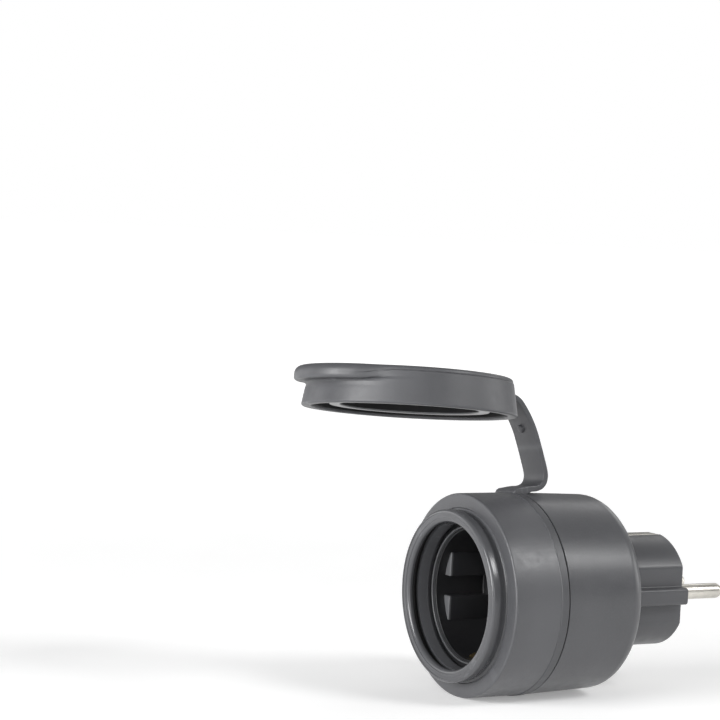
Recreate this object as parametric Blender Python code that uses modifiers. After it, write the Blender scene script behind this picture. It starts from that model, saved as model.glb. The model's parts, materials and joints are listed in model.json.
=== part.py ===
"""Outdoor smart plug: a round mains adapter with a socket, a rubber lid on a strap and a plug.

The origin is at the middle of the plug's end face. The pins point along +Y, the socket
opens towards -Y and +Z is up. Depths are measured along +Y from the socket's rim plane.
"""
import math

import bmesh
import bpy
from mathutils import Vector

# Driving dimensions, in metres.
TOTAL_DEPTH = 0.0778          # rim plane to plug face
CLEAR = 0.0003                # gap between pieces that touch
HOLE_CLEAR = 0.0004           # gap round a piece that slides or passes through a hole
CUT = 0.0010                  # how far a cutter reaches past the face that it cuts
SHELL_STEPS = 48              # facets round a large turned shell
SMALL_STEPS = 16              # facets round a small turned piece
FILLET_ARC = math.radians(45.0)  # largest step round a fillet

BODY_R = 0.0310               # sleeve, band and front of the rear housing
TAIL_R = 0.0300               # rear end of the rear housing
RIM_R = 0.0262                # raised rim that the lid seals on
RIM_HEIGHT = 0.0051           # rim plane to the sleeve's front face
OPENING_R = 0.0223            # mouth of the socket
SLEEVE_END = 0.0212
BAND_START = SLEEVE_END + CLEAR
BAND_END = 0.0240
SEAM = BAND_END + CLEAR
TAIL_END = 0.0532
WALL = 0.0023

RECESS_R = 0.0199             # socket recess for a CEE 7 plug
RECESS_FRONT = 0.0090
RECESS_FLOOR = 0.0265
FLOOR_BACK = 0.0290
INSERT_R = 0.0232
PIN_HALF_SPACING = 0.0095
PIN_R = 0.0024
PIN_LENGTH = 0.0192
PAD_FACE_X = 0.0167           # flats that a plug's side grooves slide over
PAD_START = 0.0120
PAD_HALF_GROOVE = 0.0031
PAD_HEIGHT = 0.0106
CLIP_HALF_WIDTH = 0.0022      # sprung earth contacts in the recess
CLIP_THICKNESS = 0.0005

PLUG_R = 0.0177
PLUG_FLAT_X = 0.0153
PLUG_RIB_X = 0.0187
PLUG_RIB_HALF = 0.0026
PLUG_CAVITY_END = 0.0735
CONTACT_START = 0.0705        # inner ends of the pins
EARTH_SLEEVE_START = 0.0640
EARTH_SLEEVE_Z = 0.0085

CLOCKING = math.radians(-6.7)  # band, strap and lid sit turned this far round the body
STRAP_HALF_WIDTH = 0.0056
STRAP_THICKNESS = 0.0018
FOLD_AXIS = (0.0240, 0.0282)   # depth and height of the strap's fold, at its root
FLEX_AXIS = (0.0230, 0.0595)   # depth and height of the flex beside the lid

LID_TILT = math.radians(4.54)
LID_CENTRE = (-0.01214, 0.05563)  # depth and height of the middle of the skirt's edge
LID_R = 0.0327
LID_TOP_R = 0.0308
LID_HEIGHT = 0.0114
LID_CROWN = 0.0008
LID_INNER_R = 0.0296
LID_CEILING = 0.0090
LID_SEAL_INNER_R = 0.0211     # ring that seals on the socket's rim
LID_SEAL_R = 0.0242
LID_SEAL_FOOT = 0.0003
LINER_FOOT = 0.0006
LINER_WALL = 0.0006
TAB_R = 0.0242                # round finger tab, set forward of the lid's middle
TAB_FORWARD = 0.0135
TAB_FOOT = 0.0070

CARRIER_FRONT = 0.0313
CARRIER_BACK = 0.0432
BOARD_FRONT = 0.0435
BOARD_BACK = 0.0451
BOARD_R = 0.0260
SCREW_HEIGHTS = (0.0038, -0.0038)  # screws through the board into the carrier
SCREW_R = 0.0011
SCREW_STEPS = 12
SHUTTER_FRONT = 0.0294
SHUTTER_BACK = 0.0308
SHUTTER_TRAVEL = 0.0055
SIDE_BOARD_X = -0.0211
BUTTON_DEPTH = 0.0345
BUTTON_R = 0.0032
GUIDE_DEPTH = 0.0412
GUIDE_R = 0.0010

# Base colour, metallic and roughness of each material.
FINISHES = {
    "grey_shell": ((0.125, 0.127, 0.133), 0.0, 0.42),
    "grey_rim": ((0.125, 0.127, 0.133), 0.0, 0.25),
    "grey_rubber": ((0.105, 0.107, 0.112), 0.0, 0.60),
    "black_plastic": ((0.012, 0.012, 0.013), 0.0, 0.35),
    "black_rubber": ((0.015, 0.015, 0.016), 0.0, 0.65),
    "white_plastic": ((0.70, 0.70, 0.68), 0.0, 0.45),
    "clear_plastic": ((0.80, 0.82, 0.85), 0.0, 0.15),
    "nickel": ((0.66, 0.64, 0.60), 1.0, 0.25),
    "brass": ((0.70, 0.52, 0.24), 1.0, 0.30),
    "spring_steel": ((0.55, 0.55, 0.56), 1.0, 0.30),
    "copper": ((0.72, 0.38, 0.22), 1.0, 0.35),
    "green_board": ((0.02, 0.14, 0.06), 0.0, 0.45),
    "blue_case": ((0.02, 0.06, 0.22), 0.0, 0.45),
    "yellow_tape": ((0.70, 0.55, 0.08), 0.0, 0.50),
    "ferrite": ((0.05, 0.05, 0.055), 0.0, 0.70),
}


def empty_the_scene():
    for old in list(bpy.data.objects):
        bpy.data.objects.remove(old, do_unlink=True)


def new_collection(name):
    group = bpy.data.collections.new(name)
    bpy.context.scene.collection.children.link(group)
    return group


def finish(name):
    found = bpy.data.materials.get(name)
    if found:
        return found
    colour, metallic, roughness = FINISHES[name]
    made = bpy.data.materials.new(name)
    made.use_nodes = True
    shader = made.node_tree.nodes["Principled BSDF"]
    shader.inputs["Base Color"].default_value = (*colour, 1.0)
    shader.inputs["Metallic"].default_value = metallic
    shader.inputs["Roughness"].default_value = roughness
    return made


def depth_to_y(depth):
    return depth - TOTAL_DEPTH


def add_part(name, mesh, material):
    mesh.materials.append(finish(material))
    part = bpy.data.objects.new(name, mesh)
    PARTS.objects.link(part)
    return part


def make_cutter(tool):
    for group in list(tool.users_collection):
        group.objects.unlink(tool)
    CUTTERS.objects.link(tool)
    tool.hide_render = True
    tool.display_type = "WIRE"
    return tool


def combine(part, tool, operation):
    make_cutter(tool)
    step = part.modifiers.new(tool.name, "BOOLEAN")
    step.operation = operation
    step.solver = "EXACT"
    step.object = tool


def cut(part, tool):
    combine(part, tool, "DIFFERENCE")


def join(part, tool):
    combine(part, tool, "UNION")


def rounded_outline(corners):
    """Turn (u, v, fillet radius) corners of a closed outline into its points."""
    points = []
    for index, (u, v, radius) in enumerate(corners):
        corner = Vector((u, v))
        if radius == 0.0:
            points.append(corner)
            continue
        before = Vector(corners[index - 1][:2])
        after = Vector(corners[(index + 1) % len(corners)][:2])
        to_before = (before - corner).normalized()
        to_after = (after - corner).normalized()
        half = to_before.angle(to_after) / 2.0
        middle = corner + (to_before + to_after).normalized() * radius / math.sin(half)
        start = corner + to_before * radius / math.tan(half) - middle
        end = corner + to_after * radius / math.tan(half) - middle
        sweep = math.pi - 2.0 * half
        steps = max(2, math.ceil(sweep / FILLET_ARC))
        for step in range(steps + 1):
            share = step / steps
            reach = start * math.sin((1.0 - share) * sweep) + end * math.sin(share * sweep)
            points.append(middle + reach / math.sin(sweep))
    return points


def turned(name, material, corners, steps=SHELL_STEPS):
    """Turn a closed outline of (radius, height, fillet) corners about the local Z axis.

    The corners run down the outer side and back up the inner side.
    """
    points = rounded_outline(corners)
    count = len(points)
    on_axis = corners[0][0] == 0.0
    edges = [(i, i + 1) for i in range(count - 1)]
    if not on_axis:
        edges.append((count - 1, 0))
    mesh = bpy.data.meshes.new(name)
    mesh.from_pydata([(p.x, 0.0, p.y) for p in points], edges, [])
    part = add_part(name, mesh, material)
    screw = part.modifiers.new("turn", "SCREW")
    screw.axis = "Z"
    screw.angle = 2.0 * math.pi
    screw.steps = steps
    screw.render_steps = steps
    screw.use_merge_vertices = True
    screw.merge_threshold = 0.00001
    screw.use_smooth_shade = True
    return part


def turned_along_body(name, material, corners, steps=SHELL_STEPS, centre=(0.0, 0.0)):
    """Turn (radius, depth, fillet) corners about an axis along Y through the centre (x, z)."""
    by_height = [(radius, -depth_to_y(depth), fillet) for radius, depth, fillet in corners]
    part = turned(name, material, by_height, steps)
    part.rotation_euler = (math.pi / 2.0, 0.0, 0.0)
    part.location = (centre[0], 0.0, centre[1])
    return part


def box(name, material, x_range, depth_range, z_range, bevel=0.0):
    low = Vector((x_range[0], depth_to_y(depth_range[0]), z_range[0]))
    high = Vector((x_range[1], depth_to_y(depth_range[1]), z_range[1]))
    mesh = bpy.data.meshes.new(name)
    shape = bmesh.new()
    bmesh.ops.create_cube(shape, size=1.0)
    bmesh.ops.scale(shape, vec=high - low, verts=shape.verts)
    shape.to_mesh(mesh)
    shape.free()
    part = add_part(name, mesh, material)
    part.location = (low + high) / 2.0
    if bevel:
        rounding = part.modifiers.new("edges", "BEVEL")
        rounding.width = bevel
        rounding.segments = 2
    return part


def rod(name, material, radius, start, end, steps=SMALL_STEPS, bevel=0.0):
    """A straight round bar between two points given as (x, depth, z), its rims bevelled."""
    first = Vector((start[0], depth_to_y(start[1]), start[2]))
    last = Vector((end[0], depth_to_y(end[1]), end[2]))
    mesh = bpy.data.meshes.new(name)
    shape = bmesh.new()
    length = (last - first).length
    bmesh.ops.create_cone(shape, cap_ends=True, segments=steps, radius1=radius,
                          radius2=radius, depth=length)
    shape.to_mesh(mesh)
    shape.free()
    part = add_part(name, mesh, material)
    part.location = (first + last) / 2.0
    part.rotation_euler = (last - first).to_track_quat("Z", "Y").to_euler()
    if bevel:
        rounding = part.modifiers.new("edges", "BEVEL")
        rounding.width = bevel
        rounding.segments = 1
        rounding.limit_method = "ANGLE"
    return part


def tube_curve(name, material, radius, points, resolution=2):
    """A wire of the given radius through points given as (x, depth, z)."""
    curve = bpy.data.curves.new(name, "CURVE")
    curve.dimensions = "3D"
    curve.bevel_depth = radius
    curve.bevel_resolution = resolution
    curve.use_fill_caps = True
    line = curve.splines.new("POLY")
    line.points.add(len(points) - 1)
    for knot, (x, depth, z) in zip(line.points, points):
        knot.co = (x, depth_to_y(depth), z, 1.0)
    curve.materials.append(finish(material))
    part = bpy.data.objects.new(name, curve)
    PARTS.objects.link(part)
    return part


def plate(name, material, outline, thickness):
    """A flat plate in the local XY plane, centred on Z, from one closed (x, y) outline."""
    curve = bpy.data.curves.new(name, "CURVE")
    curve.dimensions = "2D"
    curve.fill_mode = "BOTH"
    curve.extrude = thickness / 2.0
    line = curve.splines.new("POLY")
    line.points.add(len(outline) - 1)
    for knot, (x, y) in zip(line.points, outline):
        knot.co = (x, y, 0.0, 1.0)
    line.use_cyclic_u = True
    shape = bpy.data.objects.new(name + "_outline", curve)
    PARTS.objects.link(shape)
    bpy.context.view_layer.update()
    graph = bpy.context.evaluated_depsgraph_get()
    mesh = bpy.data.meshes.new_from_object(shape.evaluated_get(graph))
    bpy.data.objects.remove(shape, do_unlink=True)
    solid = bmesh.new()
    solid.from_mesh(mesh)
    bmesh.ops.remove_doubles(solid, verts=solid.verts, dist=0.000001)
    bmesh.ops.recalc_face_normals(solid, faces=solid.faces)
    solid.to_mesh(mesh)
    solid.free()
    mesh.materials.clear()
    mesh.name = name
    return add_part(name, mesh, material)


def bent_strip(name, material, path, half_width, thickness):
    """A strip across X that follows a path of (depth, height) points, thickened both ways."""
    mesh = bpy.data.meshes.new(name)
    points = []
    for depth, height in path:
        points.append((half_width, depth_to_y(depth), height))
        points.append((-half_width, depth_to_y(depth), height))
    strips = [(2 * i, 2 * i + 2, 2 * i + 3, 2 * i + 1) for i in range(len(path) - 1)]
    mesh.from_pydata(points, [], strips)
    strip = add_part(name, mesh, material)
    thicken = strip.modifiers.new("thickness", "SOLIDIFY")
    thicken.thickness = thickness
    thicken.offset = 0.0
    thicken.use_even_offset = True
    return strip


def standing_plate(name, material, outline, depth_range):
    """A plate whose outline is given in x and z, between two depths."""
    start, end = depth_range
    part = plate(name, material, outline, end - start)
    part.rotation_euler = (math.pi / 2.0, 0.0, 0.0)
    part.location = (0.0, depth_to_y((start + end) / 2.0), 0.0)
    return part


def arc_points(radius, start, end, count):
    """Points (x, z) on an arc; angles in degrees from +X towards +Z."""
    points = []
    for step in range(count + 1):
        angle = math.radians(start + (end - start) * step / count)
        points.append((radius * math.cos(angle), radius * math.sin(angle)))
    return points


def axis_empty(name, location, parent=None):
    marker = bpy.data.objects.new(name, None)
    marker.empty_display_size = 0.01
    marker.location = location
    marker.parent = parent
    PARTS.objects.link(marker)
    return marker


def mount_on(parent, parts, offset=(0.0, 0.0, 0.0)):
    for part in parts:
        part.location = Vector(part.location) - Vector(offset)
        part.parent = parent


def body_shells():
    """The fixed outer shells and their seals, front to back."""
    groove_front = 0.0016
    groove_back = 0.0048
    groove_r = 0.0240
    seat_start = 0.0080
    seat_r = INSERT_R + CLEAR
    collar_end = 0.0210
    turned_along_body("socket_collar", "grey_rim", [
        (RIM_R, 0.0, 0.0010),
        (RIM_R, collar_end, 0.0),
        (seat_r, collar_end, 0.0),
        (seat_r, seat_start, 0.0),
        (OPENING_R, seat_start, 0.0003),
        (OPENING_R, groove_back, 0.0),
        (groove_r, groove_back, 0.0),
        (groove_r, groove_front, 0.0),
        (OPENING_R, groove_front, 0.0),
        (OPENING_R, 0.0, 0.0006),
    ])
    turned_along_body("rim_gasket", "black_rubber", [
        (groove_r - CLEAR, groove_front + CLEAR, 0.0),
        (groove_r - CLEAR, groove_back - CLEAR, 0.0),
        (OPENING_R + CLEAR, groove_back - CLEAR, 0.0),
        (OPENING_R + CLEAR, groove_front + CLEAR, 0.0),
    ])
    turned_along_body("front_sleeve", "grey_shell", [
        (BODY_R, RIM_HEIGHT, 0.0006),
        (BODY_R, SLEEVE_END, 0.0),
        (BODY_R - WALL, SLEEVE_END, 0.0),
        (BODY_R - WALL, RIM_HEIGHT + WALL, 0.0008),
        (RIM_R + CLEAR, RIM_HEIGHT + WALL, 0.0),
        (RIM_R + CLEAR, RIM_HEIGHT, 0.0),
    ])
    spigot_r = 0.0282
    spigot_inner_r = RIM_R + 0.0004
    spigot_front = 0.0190
    seal_depth = 0.0014
    hole_r = PLUG_R + 0.0004
    inner_end = TAIL_END - WALL
    inner_start_r = BODY_R - WALL - CLEAR
    step_back = 0.0012
    cone_back = 0.0030
    housing = turned_along_body("rear_housing", "grey_shell", [
        (spigot_r, spigot_front, 0.0),
        (spigot_r, SEAM, 0.0),
        (BODY_R, SEAM, 0.0004),
        (TAIL_R, TAIL_END, 0.0046),
        (hole_r, TAIL_END, 0.0),
        (hole_r, inner_end, 0.0),
        (TAIL_R - WALL, inner_end, 0.0030),
        (inner_start_r, SEAM + cone_back, 0.0),
        (spigot_inner_r, SEAM + step_back, 0.0),
        (spigot_inner_r, spigot_front, 0.0),
    ])
    hole_outside, hole_inside = -BODY_R - 0.0020, -BODY_R + 0.0055
    for name, radius, depth in (("button_hole", BUTTON_R, BUTTON_DEPTH),
                                ("guide_hole", GUIDE_R, GUIDE_DEPTH)):
        cut(housing, rod(name, "grey_shell", radius + HOLE_CLEAR,
                         (hole_outside, depth, 0.0), (hole_inside, depth, 0.0)))
    seal_back = spigot_front - CLEAR
    turned_along_body("housing_seal", "black_rubber", [
        (spigot_r, seal_back - seal_depth, 0.0),
        (spigot_r, seal_back, 0.0),
        (spigot_inner_r, seal_back, 0.0),
        (spigot_inner_r, seal_back - seal_depth, 0.0),
    ])


def strap_ring(frame):
    """The rubber band clamped between sleeve and housing, with the strap's root on top."""
    band_inner_r = 0.0285
    ring = turned_along_body("strap_ring", "grey_rubber", [
        (BODY_R, BAND_START, 0.0),
        (BODY_R, BAND_END, 0.0),
        (band_inner_r, BAND_END, 0.0),
        (band_inner_r, BAND_START, 0.0),
    ])
    lug_top = 0.0323
    lug_foot = 0.0297
    lug_back = BAND_END - 0.0001
    overhang_foot = BODY_R + 0.00035
    overhang_start = BAND_END - 0.0006
    overhang_end = 0.0260
    width = (-STRAP_HALF_WIDTH, STRAP_HALF_WIDTH)
    lug = box("lug_root", "grey_rubber", width, (BAND_START, lug_back), (lug_foot, lug_top))
    overhang = box("lug_overhang", "grey_rubber", width, (overhang_start, overhang_end),
                   (overhang_foot, lug_top))
    join(ring, lug)
    join(ring, overhang)
    mount_on(frame, (ring, lug, overhang))


def strap_arm(fold):
    """The strap between its root and the lid: a bent strip, thickened both ways."""
    path = [(0.0279, 0.0321), (0.0300, 0.0321), (0.0318, 0.0327), (0.0330, 0.0339),
            (0.0335, 0.0356), (0.0334, 0.0374), (0.0326, 0.0405), (0.0313, 0.0450),
            (0.0296, 0.0502), (0.0275, 0.0545), (0.0251, 0.0580), (0.02375, 0.05915)]
    arm = bent_strip("strap_arm", "grey_rubber", path, STRAP_HALF_WIDTH, STRAP_THICKNESS)
    mount_on(fold, (arm,), (0.0, depth_to_y(FOLD_AXIS[0]), FOLD_AXIS[1]))


def lid(flex):
    """The lid: a shallow cap with a skirt, a finger tab, a strap lug and a seal ring."""
    shell = turned("lid_shell", "grey_rubber", [
        (0.0, LID_HEIGHT + LID_CROWN, 0.0),
        (LID_TOP_R * 0.55, LID_HEIGHT + LID_CROWN * 0.70, 0.0),
        (LID_TOP_R, LID_HEIGHT, 0.0012),
        (LID_R, 0.0, 0.0005),
        (LID_INNER_R, 0.0, 0.0005),
        (LID_INNER_R, LID_CEILING, 0.0010),
        (0.0, LID_CEILING, 0.0),
    ])
    tab_top = LID_HEIGHT - 0.0002
    tab = turned("lid_tab", "grey_rubber", [
        (0.0, tab_top, 0.0),
        (TAB_R, tab_top, 0.0014),
        (TAB_R, TAB_FOOT, 0.0006),
        (0.0, TAB_FOOT, 0.0),
    ])
    tab.location.y = -TAB_FORWARD
    core_r = LID_INNER_R + 0.0004
    core = turned("tab_core", "grey_rubber", [
        (0.0, LID_HEIGHT + CUT, 0.0),
        (core_r, LID_HEIGHT + CUT, 0.0),
        (core_r, TAB_FOOT - CUT, 0.0),
        (0.0, TAB_FOOT - CUT, 0.0),
    ])
    cut(tab, core)
    lug_start, lug_end = 0.0305, 0.0339
    lug = box("lid_lug", "grey_rubber", (-STRAP_HALF_WIDTH, STRAP_HALF_WIDTH),
              (TOTAL_DEPTH + lug_start, TOTAL_DEPTH + lug_end), (0.0056, 0.0082))
    join(shell, tab)
    join(shell, lug)
    liner_r = LID_INNER_R - CLEAR
    liner_top = LID_CEILING - CLEAR
    liner_ceiling = liner_top - LINER_WALL
    seal = turned("lid_seal", "black_rubber", [
        (0.0, liner_top, 0.0),
        (liner_r, liner_top, 0.0010),
        (liner_r, LINER_FOOT, 0.0),
        (liner_r - LINER_WALL, LINER_FOOT, 0.0),
        (liner_r - LINER_WALL, liner_ceiling, 0.0),
        (LID_SEAL_R, liner_ceiling, 0.0),
        (LID_SEAL_R, LID_SEAL_FOOT, 0.0006),
        (LID_SEAL_INNER_R, LID_SEAL_FOOT, 0.0006),
        (LID_SEAL_INNER_R, liner_ceiling, 0.0),
        (0.0, liner_ceiling, 0.0),
    ])
    cap = axis_empty("lid_frame", (0.0, LID_CENTRE[0] - FLEX_AXIS[0],
                                   LID_CENTRE[1] - FLEX_AXIS[1]), flex)
    cap.rotation_euler = (-LID_TILT, 0.0, 0.0)
    mount_on(cap, (shell, tab, core, lug, seal))


def socket_insert():
    """The black cup that a plug goes into, with its side flats, pin holes and clip slots."""
    insert = turned_along_body("socket_insert", "black_plastic", [
        (INSERT_R, RECESS_FRONT, 0.0004),
        (INSERT_R, FLOOR_BACK, 0.0),
        (0.0, FLOOR_BACK, 0.0),
        (0.0, RECESS_FLOOR, 0.0),
        (RECESS_R, RECESS_FLOOR, 0.0),
        (RECESS_R, RECESS_FRONT, 0.0004),
    ])
    pad_outer_x = 0.0205
    through = (RECESS_FLOOR - CUT, FLOOR_BACK + CUT)
    slot_half_width = CLIP_HALF_WIDTH + 0.0005
    slot_inner, slot_outer = 0.0180, 0.0196
    for side in (-1.0, 1.0):
        for half in (-1.0, 1.0):
            x_range = sorted((side * PAD_FACE_X, side * pad_outer_x))
            z_range = sorted((half * PAD_HALF_GROOVE, half * PAD_HEIGHT))
            pad = box("pad_%d_%d" % (side, half), "black_plastic", x_range,
                      (PAD_START, RECESS_FLOOR + CUT), z_range)
            join(insert, pad)
        centre_x = side * PIN_HALF_SPACING
        cut(insert, rod("pin_hole_%d" % side, "black_plastic", PIN_R + HOLE_CLEAR,
                        (centre_x, through[0], 0.0), (centre_x, through[1], 0.0)))
        cut(insert, box("clip_slot_%d" % side, "black_plastic",
                        (-slot_half_width, slot_half_width), through,
                        sorted((side * slot_inner, side * slot_outer))))


def earth_parts():
    """Spring clips at the top and bottom of the recess, and the bridge that joins them."""
    path = [(0.0108, 0.0193), (0.0125, 0.0186), (0.0160, 0.0178), (0.0195, 0.0178),
            (0.0230, 0.0186), (0.0258, 0.0189), (0.0289, 0.0189)]
    bent_strip("earth_clip_top", "brass", path, CLIP_HALF_WIDTH, CLIP_THICKNESS)
    lower_path = [(depth, -height) for depth, height in path]
    bent_strip("earth_clip_bottom", "brass", lower_path, -CLIP_HALF_WIDTH, CLIP_THICKNESS)
    bridge_outer_r, bridge_inner_r = 0.0222, 0.0180
    past_top, past_bottom, arc_steps = 88.0, 272.0, 20
    outer = arc_points(bridge_outer_r, past_top, past_bottom, arc_steps)
    inner = arc_points(bridge_inner_r, past_bottom, past_top, arc_steps)
    standing_plate("earth_bridge", "brass", outer + inner, (0.0293, 0.0301))


def shutter_parts():
    """The safety shutter behind the pin holes and its return spring."""
    half_width = 0.0140
    half_height = 0.0040
    plate_part = box("shutter", "white_plastic", (-half_width, half_width),
                     (SHUTTER_FRONT, SHUTTER_BACK),
                     (-half_height, half_height + SHUTTER_TRAVEL))
    for side in (-1.0, 1.0):
        window_x = side * PIN_HALF_SPACING
        cut(plate_part, rod("window_%d" % side, "white_plastic", PIN_R + HOLE_CLEAR,
                            (window_x, SHUTTER_FRONT - CUT, SHUTTER_TRAVEL),
                            (window_x, SHUTTER_BACK + CUT, SHUTTER_TRAVEL)))
    turns = 5
    knots = 10
    coil_r = 0.0006
    wire_r = 0.00015
    spring_depth = (SHUTTER_FRONT + SHUTTER_BACK) / 2.0
    spring_top = -half_height - 0.0005
    spring_foot = -0.0113
    points = []
    for step in range(turns * knots + 1):
        angle = 2.0 * math.pi * step / knots
        share = step / (turns * knots)
        points.append((coil_r * math.cos(angle), spring_depth + coil_r * math.sin(angle),
                       spring_top + (spring_foot - spring_top) * share))
    tube_curve("shutter_spring", "spring_steel", wire_r, points, 1)


def contact_parts():
    """The insulating block behind the shutter, with a spring sleeve for each pin."""
    carrier = box("contact_carrier", "white_plastic", (-0.0145, 0.0145),
                  (CARRIER_FRONT, CARRIER_BACK), (-0.0065, 0.0065), 0.0006)
    ledge_z = -0.0128
    ledge_thickness = 0.0011
    join(carrier, box("spring_ledge", "white_plastic", (-0.0020, 0.0020), (0.0293, 0.0325),
                      (ledge_z, ledge_z + ledge_thickness)))
    join(carrier, box("ledge_stem", "white_plastic", (-0.0018, 0.0018), (0.0316, 0.0324),
                      (ledge_z + 0.0002, -0.0060)))
    contact_outer_r, contact_inner_r = 0.0033, 0.0026
    contact_front = CARRIER_FRONT + 0.0006
    contact_back = CARRIER_BACK - 0.0008
    for name, side in (("live_contact", 1.0), ("neutral_contact", -1.0)):
        centre_x = side * PIN_HALF_SPACING
        cut(carrier, rod("bore_" + name, "white_plastic", contact_outer_r + CLEAR,
                         (centre_x, CARRIER_FRONT - CUT, 0.0),
                         (centre_x, CARRIER_BACK + CUT, 0.0)))
        turned_along_body(name, "brass", [
            (contact_outer_r, contact_front, 0.0003),
            (contact_outer_r, contact_back, 0.0),
            (contact_inner_r, contact_back, 0.0),
            (contact_inner_r, contact_front, 0.0003),
        ], SMALL_STEPS, (centre_x, 0.0))
    bore_bottom = 0.0350
    for index, height in enumerate(SCREW_HEIGHTS):
        cut(carrier, rod("screw_bore_%d" % index, "white_plastic", SCREW_R + CLEAR,
                         (0.0, bore_bottom, height), (0.0, CARRIER_BACK + CUT, height),
                         SCREW_STEPS))


def main_board():
    """The round circuit board, its screws and the parts that stand on it."""
    board_steps = 36
    board = rod("main_board", "green_board", BOARD_R, (0.0, BOARD_FRONT, 0.0),
                (0.0, BOARD_BACK, 0.0), board_steps)
    screw_tip = 0.0360
    head_r = 0.0022
    head_seat = BOARD_BACK + CLEAR
    head_end = BOARD_BACK + 0.0016
    for index, height in enumerate(SCREW_HEIGHTS):
        cut(board, rod("board_hole_%d" % index, "green_board", SCREW_R + CLEAR,
                       (0.0, BOARD_FRONT - CUT, height), (0.0, BOARD_BACK + CUT, height),
                       SCREW_STEPS))
        turned_along_body("board_screw_%d" % (index + 1), "spring_steel", [
            (0.0, screw_tip, 0.0),
            (SCREW_R, screw_tip, 0.0),
            (SCREW_R, head_seat, 0.0),
            (head_r, head_seat, 0.0),
            (head_r, head_end, 0.0003),
            (0.0, head_end, 0.0),
        ], SCREW_STEPS, (0.0, height))
    top = BOARD_FRONT - CLEAR
    transformer_front = 0.0330
    box("transformer_core", "ferrite", (-0.0070, 0.0070), (transformer_front, top),
        (-0.0212, -0.0172), 0.0004)
    box("transformer_coil", "yellow_tape", (-0.0062, 0.0062), (transformer_front, top),
        (-0.0169, -0.0085), 0.0010)
    for name, radius, front, x, z in (("bulk_capacitor", 0.0042, 0.0315, -0.0135, -0.0140),
                                      ("output_capacitor", 0.0030, 0.0345, 0.0125, -0.0130)):
        rod(name, "black_plastic", radius, (x, front, z), (x, top, z), SMALL_STEPS, 0.0004)
    rod("varistor", "blue_case", 0.0042, (0.0168, 0.0385, 0.0102), (0.0168, 0.0385, 0.0136),
        SMALL_STEPS, 0.0006)
    rod("fuse", "white_plastic", 0.0016, (-0.0168, 0.0390, 0.0095), (-0.0168, 0.0390, 0.0175),
        SCREW_STEPS, 0.0003)
    box("wifi_board", "green_board", (-0.0190, -0.0130), (BOARD_BACK + CLEAR, 0.0462),
        (-0.0100, 0.0100))
    box("wifi_shield", "nickel", (-0.0185, -0.0135), (0.0465, 0.0481), (-0.0070, 0.0050),
        0.0003)


def relay_parts():
    """The switching relay: an open-bottomed cover with a coil and a pivoting armature."""
    top = BOARD_FRONT - CLEAR
    wall = 0.0009
    half_width, front, foot, head = 0.0098, 0.0313, 0.0088, 0.0202
    cover = box("relay_cover", "blue_case", (-half_width, half_width), (front, top),
                (foot, head), 0.0003)
    cut(cover, box("relay_hollow", "blue_case", (wall - half_width, half_width - wall),
                   (front + wall, top + CUT), (foot + wall, head - wall)))
    centre_z = (foot + head) / 2.0
    coil_x, pivot_x = -0.0020, 0.0070
    rod("relay_coil", "copper", 0.0036, (coil_x, 0.0354, centre_z), (coil_x, top, centre_z),
        SMALL_STEPS, 0.0005)
    pivot = axis_empty("armature_axis", (pivot_x, depth_to_y(0.0342), centre_z))
    armature = box("relay_armature", "spring_steel", (-0.0060, 0.0072), (0.0338, 0.0346),
                   (0.0110, 0.0180))
    mount_on(pivot, (armature,), pivot.location)


def button_parts():
    """The side button, the switch it presses, the status light and its light guide."""
    box("side_board", "green_board", (SIDE_BOARD_X, SIDE_BOARD_X + 0.0010),
        (0.0305, BOARD_FRONT - CLEAR), (-0.0060, 0.0060))
    switch_half = 0.0030
    box("tact_switch", "black_plastic", (-0.0249, SIDE_BOARD_X - CLEAR),
        (BUTTON_DEPTH - switch_half, BUTTON_DEPTH + switch_half),
        (-switch_half, switch_half), 0.0003)
    slide = axis_empty("button_axis", (-BODY_R, depth_to_y(BUTTON_DEPTH), 0.0))
    flange_r = 0.0043
    flange_front, flange_back = -0.0038, -0.0046
    cap = turned("button_cap", "grey_rubber", [
        (0.0, 0.0010, 0.0),
        (BUTTON_R, 0.0004, 0.0006),
        (BUTTON_R, flange_front + 0.0002, 0.0),
        (flange_r, flange_front, 0.0),
        (flange_r, flange_back, 0.0),
        (0.0, flange_back, 0.0),
    ], SMALL_STEPS)
    cap.rotation_euler = (0.0, -math.pi / 2.0, 0.0)
    mount_on(slide, (cap,))
    led_half = 0.0008
    box("status_led", "white_plastic", (-0.0228, SIDE_BOARD_X - CLEAR),
        (GUIDE_DEPTH - led_half, GUIDE_DEPTH + led_half), (-0.0012, 0.0012))
    rod("light_guide", "clear_plastic", GUIDE_R, (-0.0304, GUIDE_DEPTH, 0.0),
        (-0.0232, GUIDE_DEPTH, 0.0), SCREW_STEPS)


def plug_outline():
    """The plug's section in x and z, without its ribs: a round body with a flat each side."""
    flat_top = math.sqrt(PLUG_R ** 2 - PLUG_FLAT_X ** 2)
    corner = math.degrees(math.atan2(flat_top, PLUG_FLAT_X))
    steps = 14
    top = arc_points(PLUG_R, corner, 180.0 - corner, steps)
    bottom = arc_points(PLUG_R, 180.0 + corner, 360.0 - corner, steps)
    return top + bottom


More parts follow.
